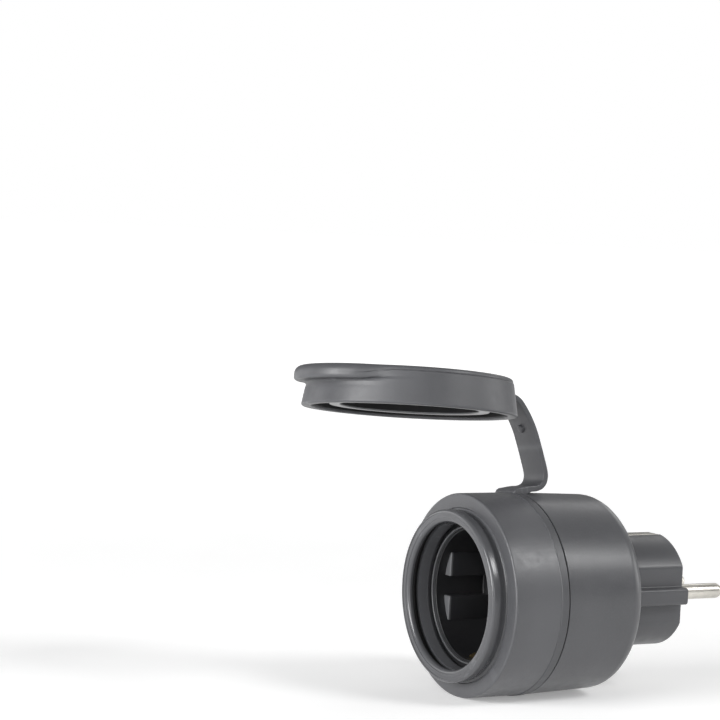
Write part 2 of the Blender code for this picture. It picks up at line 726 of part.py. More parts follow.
def plug_parts():
    """The moulded plug, its two pins and its three earth contacts."""
    flange_front, flange_r = 0.0485, 0.0210
    neck_r = PLUG_R - 0.0002
    neck_end = TAIL_END + 0.0020
    inner_face = TAIL_END - WALL - CLEAR
    plug = turned_along_body("plug_body", "grey_shell", [
        (0.0, flange_front, 0.0),
        (flange_r, flange_front, 0.0),
        (flange_r, inner_face, 0.0),
        (neck_r, inner_face, 0.0),
        (neck_r, neck_end, 0.0),
        (0.0, neck_end, 0.0),
    ])
    outside_start = TAIL_END + CLEAR
    rib_end = TOTAL_DEPTH - 0.0002
    join(plug, standing_plate("plug_prism", "grey_shell", plug_outline(),
                              (outside_start, TOTAL_DEPTH)))
    join(plug, box("plug_ribs", "grey_shell", (-PLUG_RIB_X, PLUG_RIB_X),
                   (outside_start, rib_end), (-PLUG_RIB_HALF, PLUG_RIB_HALF)))
    hollow_r, hollow_steps = 0.0135, 24
    cut(plug, rod("plug_hollow", "grey_shell", hollow_r, (0.0, flange_front - CUT, 0.0),
                  (0.0, PLUG_CAVITY_END, 0.0), hollow_steps))
    through = (PLUG_CAVITY_END - CUT, TOTAL_DEPTH + CUT)
    pin_head_r = 0.0034
    pin_seat = PLUG_CAVITY_END - CLEAR
    pin_tip = TOTAL_DEPTH + PIN_LENGTH
    for name, side in (("pin_live", 1.0), ("pin_neutral", -1.0)):
        centre_x = side * PIN_HALF_SPACING
        cut(plug, rod("hole_" + name, "grey_shell", PIN_R + CLEAR,
                      (centre_x, through[0], 0.0), (centre_x, through[1], 0.0)))
        turned_along_body(name, "nickel", [
            (0.0, CONTACT_START, 0.0),
            (pin_head_r, CONTACT_START, 0.0),
            (pin_head_r, pin_seat, 0.0),
            (PIN_R, pin_seat, 0.0),
            (PIN_R, pin_tip, 0.0016),
            (0.0, pin_tip, 0.0),
        ], SMALL_STEPS, (centre_x, 0.0))
    groove_start, groove_half_width, groove_foot = 0.0580, 0.0029, 0.0166
    past_surface = PLUG_R + 0.0013
    strip_half_width, strip_face = 0.0025, 0.0175
    for name, side in (("earth_strip_top", 1.0), ("earth_strip_bottom", -1.0)):
        cut(plug, box("groove_" + name, "grey_shell", (-groove_half_width, groove_half_width),
                      (groove_start, TOTAL_DEPTH + CUT),
                      sorted((side * groove_foot, side * past_surface))))
        box(name, "nickel", (-strip_half_width, strip_half_width),
            (groove_start + 0.0004, TOTAL_DEPTH - 0.0008),
            sorted((side * (groove_foot + CLEAR), side * strip_face)))
    sleeve_r, sleeve_bore_r = 0.0031, 0.0025
    sleeve_end = TOTAL_DEPTH - 0.0004
    cut(plug, rod("earth_hole", "grey_shell", sleeve_r + CLEAR,
                  (0.0, through[0], EARTH_SLEEVE_Z), (0.0, through[1], EARTH_SLEEVE_Z)))
    turned_along_body("earth_sleeve", "nickel", [
        (sleeve_r, EARTH_SLEEVE_START, 0.0),
        (sleeve_r, sleeve_end, 0.0),
        (sleeve_bore_r, sleeve_end, 0.0),
        (sleeve_bore_r, EARTH_SLEEVE_START, 0.0),
    ], SMALL_STEPS, (0.0, EARTH_SLEEVE_Z))


def wires():
    """Insulated leads from the plug's contacts to the back of the main board."""
    wire_r = 0.0009
    steps = 8
    solder_z = 0.0030
    board = BOARD_BACK + CLEAR
    pin_end = CONTACT_START - CLEAR
    earth_end = EARTH_SLEEVE_START - CLEAR
    for name, material, side in (("live_wire", "copper", 1.0),
                                 ("neutral_wire", "blue_case", -1.0)):
        points = []
        for step in range(steps + 1):
            share = step / steps
            bulge = 0.0015 * math.sin(math.pi * share)
            drop = 0.5 + 0.5 * math.cos(math.pi * share)
            points.append((side * (PIN_HALF_SPACING - bulge),
                           board + (pin_end - board) * share, solder_z * drop))
        tube_curve(name, material, wire_r, points)
    points = []
    for step in range(steps + 1):
        share = step / steps
        points.append((0.0020 * math.sin(math.pi * share),
                       board + (earth_end - board) * share, EARTH_SLEEVE_Z))
    tube_curve("earth_wire", "yellow_tape", wire_r, points)


empty_the_scene()
PARTS = new_collection("smart_plug")
CUTTERS = new_collection("cutters")

strap_frame = axis_empty("strap_frame", (0.0, 0.0, 0.0))
strap_frame.rotation_euler = (0.0, CLOCKING, 0.0)
fold_axis = axis_empty("strap_fold_axis", (0.0, depth_to_y(FOLD_AXIS[0]), FOLD_AXIS[1]),
                       strap_frame)
flex_axis = axis_empty("lid_flex_axis", (0.0, FLEX_AXIS[0] - FOLD_AXIS[0],
                                         FLEX_AXIS[1] - FOLD_AXIS[1]), fold_axis)

body_shells()
strap_ring(strap_frame)
strap_arm(fold_axis)
lid(flex_axis)
socket_insert()
earth_parts()
shutter_parts()
contact_parts()
main_board()
relay_parts()
button_parts()
plug_parts()
wires()
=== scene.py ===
"""Looks of the outdoor smart plug: fine shells, rubber lid and strap, plug, stage and light.

Lengths are in metres. Depths are measured along +Y from the socket's rim plane, as in the
CAD part. A turned piece is given by the corners of its section, each as radius, distance
along the axis and fillet.
"""

import json
import math

import bmesh
import bpy
from mathutils import Matrix, Vector


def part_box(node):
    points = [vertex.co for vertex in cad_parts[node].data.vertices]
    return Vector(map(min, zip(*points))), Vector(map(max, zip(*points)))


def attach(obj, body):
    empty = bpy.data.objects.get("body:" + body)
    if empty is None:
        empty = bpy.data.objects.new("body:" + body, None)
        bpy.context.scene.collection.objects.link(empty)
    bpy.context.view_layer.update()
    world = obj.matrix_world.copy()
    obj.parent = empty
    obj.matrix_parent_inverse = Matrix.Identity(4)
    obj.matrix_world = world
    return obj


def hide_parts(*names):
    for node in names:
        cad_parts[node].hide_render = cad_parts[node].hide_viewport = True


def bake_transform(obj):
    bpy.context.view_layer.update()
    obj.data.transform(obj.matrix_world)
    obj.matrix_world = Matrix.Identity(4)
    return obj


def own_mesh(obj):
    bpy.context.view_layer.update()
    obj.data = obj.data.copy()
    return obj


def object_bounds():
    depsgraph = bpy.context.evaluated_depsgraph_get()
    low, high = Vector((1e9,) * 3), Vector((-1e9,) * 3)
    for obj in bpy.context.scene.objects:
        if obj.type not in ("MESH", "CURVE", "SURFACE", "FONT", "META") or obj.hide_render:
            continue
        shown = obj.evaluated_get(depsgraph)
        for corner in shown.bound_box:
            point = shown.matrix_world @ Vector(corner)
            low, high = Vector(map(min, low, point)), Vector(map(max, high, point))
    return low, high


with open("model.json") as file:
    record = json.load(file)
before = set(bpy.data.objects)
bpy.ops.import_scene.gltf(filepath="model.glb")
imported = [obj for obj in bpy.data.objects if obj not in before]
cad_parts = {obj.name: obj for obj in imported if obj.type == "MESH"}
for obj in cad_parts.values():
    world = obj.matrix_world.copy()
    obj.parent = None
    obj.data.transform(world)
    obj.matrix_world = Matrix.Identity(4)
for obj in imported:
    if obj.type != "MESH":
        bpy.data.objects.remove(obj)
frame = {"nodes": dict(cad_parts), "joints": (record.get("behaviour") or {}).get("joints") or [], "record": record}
CAD_LOW, CAD_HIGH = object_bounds()
NODES = frame["nodes"]
JOINTS = {joint["name"]: joint for joint in frame["joints"]}

# Sizes read from the frame.
RIM_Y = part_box("socket_collar")[0].y
RIM_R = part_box("socket_collar")[1].x
RIM_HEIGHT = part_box("front_sleeve")[0].y - RIM_Y
BODY_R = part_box("front_sleeve")[1].x
BAND_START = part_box("front_sleeve")[1].y - RIM_Y
TAIL_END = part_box("rear_housing")[1].y - RIM_Y
PLUG_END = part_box("plug_body")[1].y - RIM_Y
INSERT_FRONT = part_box("socket_insert")[0].y - RIM_Y
INSERT_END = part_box("socket_insert")[1].y - RIM_Y
INSERT_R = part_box("socket_insert")[1].x
PIN_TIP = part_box("pin_live")[1].y - RIM_Y
BUTTON_LOW, BUTTON_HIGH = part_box("button_cap")
BUTTON_DEPTH = (BUTTON_LOW.y + BUTTON_HIGH.y) / 2.0 - RIM_Y
GUIDE_LOW, GUIDE_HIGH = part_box("light_guide")
GUIDE_DEPTH = (GUIDE_LOW.y + GUIDE_HIGH.y) / 2.0 - RIM_Y
GUIDE_R = (GUIDE_HIGH.z - GUIDE_LOW.z) / 2.0

# Sizes that the frame doesn't state by itself.
BAND_END = 0.0240
SEAM = 0.0243
OPENING_R = 0.0223
RECESS_R = 0.0199
RECESS_FLOOR = 0.0265
PAD_START = 0.0120
PAD_FACE_X = 0.0167
PAD_LOW = 0.0031
PAD_HIGH = 0.0106
PIN_R = 0.0024
PIN_HALF_SPACING = 0.0095
SHELL_WALL = 0.0023
TAIL_R = 0.0300
PLUG_R = 0.0177
PLUG_FLAT_X = 0.0153
RIB_X = 0.0187
RIB_HALF = 0.0026
STRAP_HALF_WIDTH = 0.0056
STRAP_THICKNESS = 0.0018
STRAP_FILLET = 0.00035
LID_R = 0.0327
LID_TOP_R = 0.0308
LID_HEIGHT = 0.0114
LID_CROWN = 0.0008
LID_INNER_R = 0.0296
LID_CEILING = 0.0090
LID_TILT = math.radians(4.54)
LID_FROM_FLEX = (-0.03514, -0.00387)  # lid centre from the flex axis, in depth and height
RING_INNER_R = 0.0211
RING_R = 0.0242
RING_FOOT = 0.0010
TAB_R = 0.0242
TAB_FORWARD = 0.0135
TAB_FOOT = 0.0070
BUTTON_HOLE_R = 0.0036

FINE = 192                       # facets round the large turned pieces
MEDIUM = 64                      # facets round the small ones
COARSE = 48                      # facets round the pin holes
LID_STEPS = 288                  # facets round the lid
ARC_STEP = math.radians(15.0)    # widest turn between two points of a fillet
SUPPORT = 0.00012                # length of the edge loops that hold a fillet's shading
WELD = 0.000001                  # vertices closer than this become one
SHARP = 38.0                     # degrees between two faces from which their edge is sharp
LID_SHARP = 50.0                 # the same for the lid, whose tab is blended into its wall
UNIT = (1.0, 1.0, 1.0)
WHITE = (1.0, 1.0, 1.0, 1.0)

FLEX_POINT = Vector(JOINTS["lid_flex"]["pos_m"])
FOLD_LINE = Vector(JOINTS["strap_fold"]["axis"])
CLOCKING = -math.atan2(FOLD_LINE.z, FOLD_LINE.x)
BAND_FRAME = Matrix.Rotation(CLOCKING, 4, "Y")
BODY_FRAME = Matrix.Translation((0.0, RIM_Y, 0.0)) @ Matrix.Rotation(-math.pi / 2.0, 4, "X")
LID_FRAME = (Matrix.Translation(FLEX_POINT) @ BAND_FRAME
             @ Matrix.Translation((0.0, *LID_FROM_FLEX))
             @ Matrix.Rotation(-LID_TILT, 4, "X"))


# -------- materials

MATERIALS = {}                   # every finished look, by its name


class Look:
    """A procedural material under construction, with short names for its nodes."""

    def __init__(self, name):
        self.name = name
        self.material = bpy.data.materials.new(name)
        self.material.use_nodes = True
        self.tree = self.material.node_tree
        self.shader = self.tree.nodes["Principled BSDF"]
        self.place = self.node("ShaderNodeTexCoord")

    def link(self, source, target):
        self.tree.links.new(source, target)

    def node(self, kind, **values):
        """A new node with some inputs set by name, an underscore standing for a space."""
        return self.fill(self.tree.nodes.new(kind), values)

    @staticmethod
    def fill(node, values):
        for name, value in values.items():
            node.inputs[name.replace("_", " ")].default_value = value
        return node

    def coordinates(self, stretch=UNIT):
        mapping = self.node("ShaderNodeMapping", Scale=stretch)
        self.link(self.place.outputs["Object"], mapping.inputs["Vector"])
        return mapping.outputs["Vector"]

    def noise(self, scale, detail=3.0, stretch=UNIT):
        node = self.node("ShaderNodeTexNoise", Scale=scale, Detail=detail)
        self.link(self.coordinates(stretch), node.inputs["Vector"])
        return node.outputs["Fac"]

    def ramp(self, source, low, high, low_at=0.35, high_at=0.65):
        """A colour that goes from low to high as the source goes from low_at to high_at."""
        node = self.node("ShaderNodeValToRGB")
        stops = node.color_ramp.elements
        stops[0].position, stops[0].color = low_at, (*low, 1.0)
        stops[1].position, stops[1].color = high_at, (*high, 1.0)
        self.link(source, node.inputs["Fac"])
        return node.outputs["Color"]

    def span(self, source, low, high, from_low=0.3, from_high=0.7):
        """A value that goes from low to high as the source goes from from_low to from_high."""
        node = self.node("ShaderNodeMapRange", From_Min=from_low, From_Max=from_high,
                         To_Min=low, To_Max=high)
        self.link(source, node.inputs["Value"])
        return node.outputs["Result"]

    def mix(self, factor, first, second):
        """Mix two colours, each a tuple or a socket."""
        node = self.node("ShaderNodeMix")
        node.data_type = "RGBA"
        self.link(factor, node.inputs["Factor"])
        colour_a, colour_b, colour_result = node.inputs[6], node.inputs[7], node.outputs[2]
        for socket, value in ((colour_a, first), (colour_b, second)):
            if isinstance(value, tuple):
                socket.default_value = (*value, 1.0)
            else:
                self.link(value, socket)
        return colour_result

    def bump(self, height, strength, distance, before=None):
        """A bumped normal, on top of the one before it if there is one."""
        node = self.node("ShaderNodeBump", Strength=strength, Distance=distance)
        self.link(height, node.inputs["Height"])
        if before is not None:
            self.link(before, node.inputs["Normal"])
        return node.outputs["Normal"]

    def finish(self, colour, roughness, normal=None, **uniform):
        """Join the parts to the shader and keep the material under the look's name."""
        self.link(colour, self.shader.inputs["Base Color"])
        self.link(roughness, self.shader.inputs["Roughness"])
        if normal is not None:
            self.link(normal, self.shader.inputs["Normal"])
        self.fill(self.shader, uniform)
        MATERIALS[self.name] = self.material


def scaled(colour, share):
    """A lighter or darker version of a colour."""
    return tuple(min(1.0, channel * share) for channel in colour)


def edge_wear_and_sheen(look, colour, lighter):
    """Mix a lighter tone onto raised edges: wear where handling polishes and dusts them, and a painted highlight
    along the edges.
    """
    flat, edge = 0.515, 0.56
    most = 0.55
    geometry = look.node("ShaderNodeNewGeometry")
    raised = look.span(geometry.outputs["Pointiness"], 0.0, most, flat, edge)
    return look.mix(raised, colour, lighter)


def moulded(name, colour, roughness, grain=1900.0, strength=0.30, wear_and_sheen=1.5, spread=0.05,
            specular=0.5, sag=0.08):
    """Injection-moulded plastic or rubber: spark-eroded grain, flow clouds, and edge wear with a painted highlight
    on raised edges.

    grain is the scale of the fine bump and strength how strong it is; sag is the strength of
    the wide one. The raised-edge share says how much lighter raised edges are, from wear and a
    painted highlight, and spread how far the roughness goes to each side. A roughness that
    varies across about 0.27 was seen to leave dark specks in denoised renders.
    """
    clouds_scale, speckle_scale, waves_scale, gloss_scale = 55.0, grain * 1.7, 130.0, 420.0
    darker, lighter, speck = scaled(colour, 0.93), scaled(colour, 1.06), scaled(colour, 1.25)
    grain_depth, waves_depth = 0.00004, 0.0004
    look = Look(name)
    tone = look.ramp(look.noise(clouds_scale, 2.0), darker, lighter)
    specks = look.span(look.noise(speckle_scale, 2.0), 0.0, 0.35, 0.45, 0.75)
    tone = look.mix(specks, tone, speck)
    # Raised edges get a lighter tone: wear, and a painted highlight along them.
    tone = edge_wear_and_sheen(look, tone, scaled(colour, wear_and_sheen))
    normal = look.bump(look.noise(grain, 4.0), strength, grain_depth)
    normal = look.bump(look.noise(waves_scale, 1.0), sag, waves_depth, normal)
    rough = look.span(look.noise(gloss_scale, 3.0), roughness - spread, roughness + spread)
    look.finish(tone, rough, normal, Specular_IOR_Level=specular)


def metal(name, colour, roughness, stretch, tint=0.82):
    """Plated or drawn metal: fine scratches along one direction and faint tarnish."""
    tarnish_scale, scratch_scale = 210.0, 2600.0
    scratch_strength, scratch_depth = 0.12, 0.00003
    look = Look(name)
    tone = look.ramp(look.noise(tarnish_scale, 4.0), scaled(colour, tint), colour, 0.30, 0.62)
    lines = look.noise(scratch_scale, 3.0, stretch)
    rough = look.span(lines, roughness * 0.75, roughness * 1.35)
    normal = look.bump(lines, scratch_strength, scratch_depth)
    look.finish(tone, rough, normal, Metallic=1.0)


def circuit_board(name, colour):
    """Solder mask over copper tracks, with small round pads strewn over it."""
    track_scale, track_gap, track_height = 260.0, 0.03, 0.00005
    pad_scale, pad_r, pad_edge_r, solder = 420.0, 0.10, 0.16, (0.62, 0.60, 0.55)
    look = Look(name)
    tracks = look.node("ShaderNodeTexBrick", Scale=track_scale, Mortar_Size=track_gap)
    look.link(look.coordinates(), tracks.inputs["Vector"])
    tone = look.mix(tracks.outputs["Fac"], scaled(colour, 0.85), scaled(colour, 1.6))
    pads = look.node("ShaderNodeTexVoronoi", Scale=pad_scale)
    look.link(look.coordinates(), pads.inputs["Vector"])
    dots = look.span(pads.outputs["Distance"], 1.0, 0.0, pad_r, pad_edge_r)
    tone = look.mix(dots, tone, solder)
    rough = look.span(look.noise(600.0), 0.30, 0.45)
    normal = look.bump(tracks.outputs["Fac"], 0.25, track_height)
    look.finish(tone, rough, normal)


def wound_wire(name, colour, turns):
    """Enamelled wire or tape laid turn beside turn along Y."""
    wire_height = 0.00012
    look = Look(name)
    wave = look.node("ShaderNodeTexWave", Scale=turns, Distortion=0.6)
    wave.bands_direction = "Y"
    look.link(look.coordinates(), wave.inputs["Vector"])
    tone = look.mix(wave.outputs["Fac"], scaled(colour, 0.55), colour)
    rough = look.span(look.noise(900.0), 0.22, 0.36)
    normal = look.bump(wave.outputs["Fac"], 0.6, wire_height)
    look.finish(tone, rough, normal, Metallic=0.6)


def clear_guide(name):
    """Frosted clear plastic of the light guide."""
    frost_scale, frost_height = 2400.0, 0.00003
    look = Look(name)
    tone = look.ramp(look.noise(500.0), (0.72, 0.75, 0.78), (0.84, 0.86, 0.88))
    rough = look.span(look.noise(1500.0), 0.12, 0.30)
    normal = look.bump(look.noise(frost_scale), 0.15, frost_height)
    look.finish(tone, rough, normal, Transmission_Weight=0.55)


GREY = (0.066, 0.067, 0.072)
moulded("tail_grey", GREY, 0.32, grain=1000.0, strength=0.36, wear_and_sheen=1.35, spread=0.04, sag=0.02)
moulded("plug_grey", GREY, 0.36, grain=2400.0, strength=0.10, wear_and_sheen=1.0)
moulded("shell_grey", GREY, 0.40, grain=1500.0, strength=0.55, wear_and_sheen=1.35)
moulded("rim_grey", GREY, 0.24, grain=2400.0, strength=0.10, wear_and_sheen=1.5, spread=0.03)
moulded("rubber_grey", (0.060, 0.061, 0.066), 0.44, grain=2600.0, strength=0.16, wear_and_sheen=1.9)
moulded("plastic_black", (0.0095, 0.0096, 0.0108), 0.42, grain=2400.0, strength=0.15, wear_and_sheen=1.8)
moulded("rubber_black", (0.006, 0.006, 0.0065), 0.62, grain=2200.0, strength=0.25, wear_and_sheen=1.6,
        specular=0.3)
moulded("plastic_white", (0.62, 0.62, 0.60), 0.42, wear_and_sheen=1.1)
clear_guide("plastic_clear")
metal("metal_nickel", (0.68, 0.655, 0.60), 0.32, (1.0, 0.06, 1.0))
metal("metal_brass", (0.72, 0.53, 0.24), 0.30, (1.0, 0.1, 1.0), 0.7)
metal("metal_steel", (0.56, 0.56, 0.57), 0.28, (0.2, 1.0, 1.0))
wound_wire("wire_copper", (0.70, 0.33, 0.17), 900.0)
circuit_board("board_green", (0.015, 0.12, 0.05))
moulded("plastic_blue", (0.02, 0.055, 0.20), 0.40, wear_and_sheen=1.4)
wound_wire("tape_yellow", (0.62, 0.46, 0.06), 160.0)
moulded("ferrite_dark", (0.045, 0.044, 0.048), 0.62, grain=1200.0, strength=0.7, wear_and_sheen=1.5,
        specular=0.4)
# pad_grey: the insert's black plastic made lighter grey; on the pads' front ends and the recess rim it is a
# painted highlight.
moulded("pad_grey", (0.070, 0.071, 0.075), 0.34, grain=2400.0, strength=0.12)
# ring_grey: a lighter grey for the seal ring's lip, a painted reflection of the pale floor along the black ring's
# foot.
moulded("ring_grey", (0.105, 0.107, 0.112), 0.30, grain=2600.0, strength=0.12, wear_and_sheen=1.3,
        spread=0.02)


# -------- mesh tools

def arc_points(u, v, radius, start, sweep, steps):
    """Points on an arc about (u, v), from a start angle through a sweep, in degrees."""
    turns = [math.radians(start + sweep * number / steps) for number in range(steps + 1)]
    return [(u + radius * math.cos(turn), v + radius * math.sin(turn)) for turn in turns]


def outline(corners, closed=True):
    """Turn (u, v, fillet) corners into points, with support points beside each fillet."""
    points = []
    count = len(corners)
    room = 4.0 * SUPPORT
    for index, (u, v, radius) in enumerate(corners):
        corner = Vector((u, v))
        ends = not closed and index in (0, count - 1)
        if radius == 0.0 or ends:
            points.append(corner)
            continue
        before = Vector(corners[index - 1][:2])
        after = Vector(corners[(index + 1) % count][:2])
        to_before = (before - corner).normalized()
        to_after = (after - corner).normalized()
        half = to_before.angle(to_after) / 2.0
        cut = radius / math.tan(half)
        middle = corner + (to_before + to_after).normalized() * radius / math.sin(half)
        start = corner + to_before * cut - middle
        end = corner + to_after * cut - middle
        sweep = math.pi - 2.0 * half
        if (before - corner).length > cut + room:
            points.append(corner + to_before * (cut + SUPPORT))
        steps = max(3, math.ceil(sweep / ARC_STEP))
        for number in range(steps + 1):
            share = number / steps
            reach = start * math.sin((1.0 - share) * sweep) + end * math.sin(share * sweep)
            points.append(middle + reach / math.sin(sweep))
        if (after - corner).length > cut + room:
            points.append(corner + to_after * (cut + SUPPORT))
    return points


def new_piece(name, vertices, faces, look, place=None, sharp=SHARP):
    """Make a piece from a mesh in the frame's coordinates, or in those of a place."""
    mesh = bpy.data.meshes.new(name)
    mesh.from_pydata([tuple(v) for v in vertices], [], faces)
    if place is not None:
        mesh.transform(place)
    shape = bmesh.new()
    shape.from_mesh(mesh)
    bmesh.ops.remove_doubles(shape, verts=shape.verts, dist=WELD)
    bmesh.ops.recalc_face_normals(shape, faces=shape.faces)
    shape.to_mesh(mesh)
    shape.free()
    mesh.shade_smooth()
    mesh.set_sharp_from_angle(angle=math.radians(sharp))
    mesh.materials.append(MATERIALS[look])
    piece = bpy.data.objects.new(name, mesh)
    bpy.context.scene.collection.objects.link(piece)
    return piece


def lathe_mesh(points, steps):
    """Vertices and faces of a closed (radius, height) outline turned about the Z axis."""
    vertices = []
    for number in range(steps):
        angle = 2.0 * math.pi * number / steps
        vertices += [(radius * math.cos(angle), radius * math.sin(angle), height)
                     for radius, height in points]
    count = len(points)
    faces = []
    for number in range(steps):
        here = number * count
        there = ((number + 1) % steps) * count
        for index in range(count):
            follow = (index + 1) % count
            if points[index][0] == 0.0 and points[follow][0] == 0.0:
                continue
            faces.append((here + index, there + index, there + follow, here + follow))
    return vertices, faces


def settle(piece, body, replaces=()):
    """Say which body the piece rides on and the CAD nodes it stands for."""
    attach(piece, body)
    if replaces:
        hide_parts(*replaces)
    return piece


def turned(name, look, corners, body=None, steps=FINE, place=BODY_FRAME, replaces=()):
    """Turn (radius, height, fillet) corners about the Z axis of a place.

    Without a body the piece is left for the caller to cut and to settle.
    """
    vertices, faces = lathe_mesh(outline(corners), steps)
    piece = new_piece(name, vertices, faces, look, place)
    return settle(piece, body, replaces) if body else piece


def axis_place(start, end):
    """The place whose Z axis runs from start to end, given as (x, depth, z), and its length."""
    first = Vector((start[0], RIM_Y + start[1], start[2]))
    last = Vector((end[0], RIM_Y + end[1], end[2]))
    turn = (last - first).to_track_quat("Z", "Y").to_matrix().to_4x4()
    return Matrix.Translation(first) @ turn, (last - first).length


def bar(name, look, radius, start, end, fillet=0.0, steps=MEDIUM):
    """A round bar between two (x, depth, z) points."""
    place, length = axis_place(start, end)
    return turned(name, look, [(0.0, 0.0, 0.0), (radius, 0.0, fillet),
                               (radius, length, fillet), (0.0, length, 0.0)],
                  steps=steps, place=place)


def block(name, look, x_range, depth_range, z_range, fillet=0.0, place=None):
    """A box with rounded edges; with a place, its ranges are that place's x, y and z."""
    shape = bmesh.new()
    bmesh.ops.create_cube(shape, size=1.0)
    ranges = (sorted(x_range), sorted(depth_range), sorted(z_range))
    size = Vector([high - low for low, high in ranges])
    middle = Vector([(high + low) / 2.0 for low, high in ranges])
    bmesh.ops.scale(shape, vec=size, verts=shape.verts)
    bmesh.ops.translate(shape, vec=middle, verts=shape.verts)
    if fillet:
        bmesh.ops.bevel(shape, geom=shape.edges[:], offset=fillet, segments=3,
                        profile=0.5, affect="EDGES")
    vertices = [vertex.co.copy() for vertex in shape.verts]
    faces = [[vertex.index for vertex in face.verts] for face in shape.faces]
    shape.free()
    return new_piece(name, vertices, faces, look,
                     place or Matrix.Translation((0.0, RIM_Y, 0.0)))


def cut(piece, tool):
    """Cut the tool away from the piece, and keep the result as the piece's mesh."""
    step = piece.modifiers.new(tool.name, "BOOLEAN")
    step.operation = "DIFFERENCE"
    step.solver = "EXACT"
    step.object = tool
    graph = bpy.context.evaluated_depsgraph_get()
    mesh = bpy.data.meshes.new_from_object(piece.evaluated_get(graph))
    piece.modifiers.clear()
    look = piece.data.materials[0]
    mesh.materials.clear()
    mesh.materials.append(look)
    mesh.polygons.foreach_set("material_index", [0] * len(mesh.polygons))
    mesh.shade_smooth()
    mesh.set_sharp_from_angle(angle=math.radians(SHARP))
    piece.data = mesh
    bpy.data.objects.remove(tool, do_unlink=True)


def pin_place(side):
    """The place whose Z axis is that of the pin on the side -1 or 1."""
    return Matrix.Translation((side * PIN_HALF_SPACING, 0.0, 0.0)) @ BODY_FRAME


def side_name(side, low="left", high="right"):
    """The word for the side -1 or 1 in a piece's name."""
    return low if side < 0.0 else high


def smooth_path(knots, spans):
    """A Catmull-Rom curve through 2D knots, with some spans between each two."""
    padded = [2 * Vector(knots[0]) - Vector(knots[1])]
    padded += [Vector(knot) for knot in knots]
    padded.append(2 * Vector(knots[-1]) - Vector(knots[-2]))
    points = []
    for index in range(1, len(padded) - 2):
        a, b, c, d = padded[index - 1:index + 3]
        for number in range(spans):
            t = number / spans
            points.append(0.5 * (2 * b + (c - a) * t + (2 * a - 5 * b + 4 * c - d) * t * t
                                 + (3 * b - a - 3 * c + d) * t ** 3))
    points.append(padded[-2])
    return points


def loft(sections):
    """Vertices and faces through closed sections of equal length, with flat end caps."""
    count = len(sections[0])
    vertices = [point for section in sections for point in section]
    faces = [list(range(count))[::-1],
             [(len(sections) - 1) * count + index for index in range(count)]]
    for row in range(len(sections) - 1):
        for index in range(count):
            follow = (index + 1) % count
            faces.append((row * count + index, row * count + follow,
                          (row + 1) * count + follow, (row + 1) * count + index))
    return vertices, faces


# -------- shells and seals

def collar():
    """The raised rim: a rounded lip with fine seal steps, a waisted wall and a gasket groove."""
    step, step_fillet = 0.00016, 0.00004
    step_radii = (0.0236, 0.0244, 0.0252)
    step_depths = (2.0 * step, step, 0.0002, 0.0)
    hidden_end = 0.0210
    hidden_r = INSERT_R + 0.0003
    groove_front, groove_back, groove_r = 0.0020, 0.0042, 0.0240
    gap = 0.0003
    seal_r = OPENING_R + 0.0006
    seat = 0.0080
    waist_r = RIM_R - 0.0005
    root_r = RIM_R + 0.00024
    steps = [(radius, depth, step_fillet)
             for radius, depths in zip(step_radii, zip(step_depths, step_depths[1:]))
             for depth in depths]
    turned("rim_collar", "rim_grey", [
        (RIM_R, 0.0002, 0.0009),
        (RIM_R, 0.0027, 0.0010),
        (waist_r, 0.0041, 0.0006),
        (waist_r, RIM_HEIGHT - 0.0001, 0.0004),
        (root_r, RIM_HEIGHT + 0.0002, 0.0),
        (root_r, hidden_end, 0.0),
        (hidden_r, hidden_end, 0.0),
        (hidden_r, seat, 0.0),
        (OPENING_R, seat, 0.0004),
        (OPENING_R + 0.0003, groove_back, 0.0),
        (groove_r, groove_back, 0.0004),
        (groove_r, groove_front, 0.0),
        (OPENING_R, groove_front, 0.0002),
        (OPENING_R, step_depths[0], 0.0011),
        *steps,
    ], "housing", replaces=("socket_collar",))
    turned("rim_groove_gasket", "rubber_black", [
        (groove_r - gap, groove_front + gap, 0.0004),
        (groove_r - gap, groove_back - gap, 0.0004),
        (seal_r, groove_back - gap, 0.0008),
        (seal_r, groove_front + gap, 0.0008),
    ], "housing", replaces=("rim_gasket",))


def sleeve():
    """The matt front sleeve, with its flat flange and soft edges."""
    inner_r = BODY_R - SHELL_WALL
    flange_back = RIM_HEIGHT + SHELL_WALL
    edge_r = RIM_R + 0.0003
    turned("sleeve_shell", "shell_grey", [
        (BODY_R, RIM_HEIGHT, 0.0006),
        (BODY_R, BAND_START, 0.0),
        (inner_r, BAND_START, 0.0),
        (inner_r, flange_back, 0.0008),
        (edge_r, flange_back, 0.0),
        (edge_r, RIM_HEIGHT, 0.00025),
    ], "housing", replaces=("front_sleeve",))


def tail():
    """The rear housing, tapering slightly to a generously rounded back edge."""
    inner_end = TAIL_END - SHELL_WALL
    hole_r = PLUG_R + 0.0004
    spigot_r = 0.0282
    spigot_front = 0.0190
    spigot_inner_r = RIM_R + 0.0004
    housing = turned("tail_shell", "tail_grey", [
        (spigot_r, spigot_front, 0.0),
        (spigot_r, SEAM, 0.0),
        (BODY_R, SEAM, 0.00025),
        (TAIL_R, TAIL_END, 0.0046),
        (hole_r, TAIL_END, 0.0003),
        (hole_r, inner_end, 0.0),
        (TAIL_R - SHELL_WALL, inner_end, 0.0030),
        (BODY_R - SHELL_WALL - 0.0003, SEAM + 0.0030, 0.0),
        (spigot_inner_r, SEAM + 0.0012, 0.0),
        (spigot_inner_r, spigot_front, 0.0),
    ])
    outside, inside = -BODY_R - 0.002, -BODY_R + 0.0055
    for name, radius, depth in (("button_hole", BUTTON_HOLE_R, BUTTON_DEPTH),
                                ("guide_hole", GUIDE_R + 0.0002, GUIDE_DEPTH)):
        cut(housing, bar(name, "tail_grey", radius, (outside, depth, 0.0),
                         (inside, depth, 0.0)))
    settle(housing, "housing", ("rear_housing",))


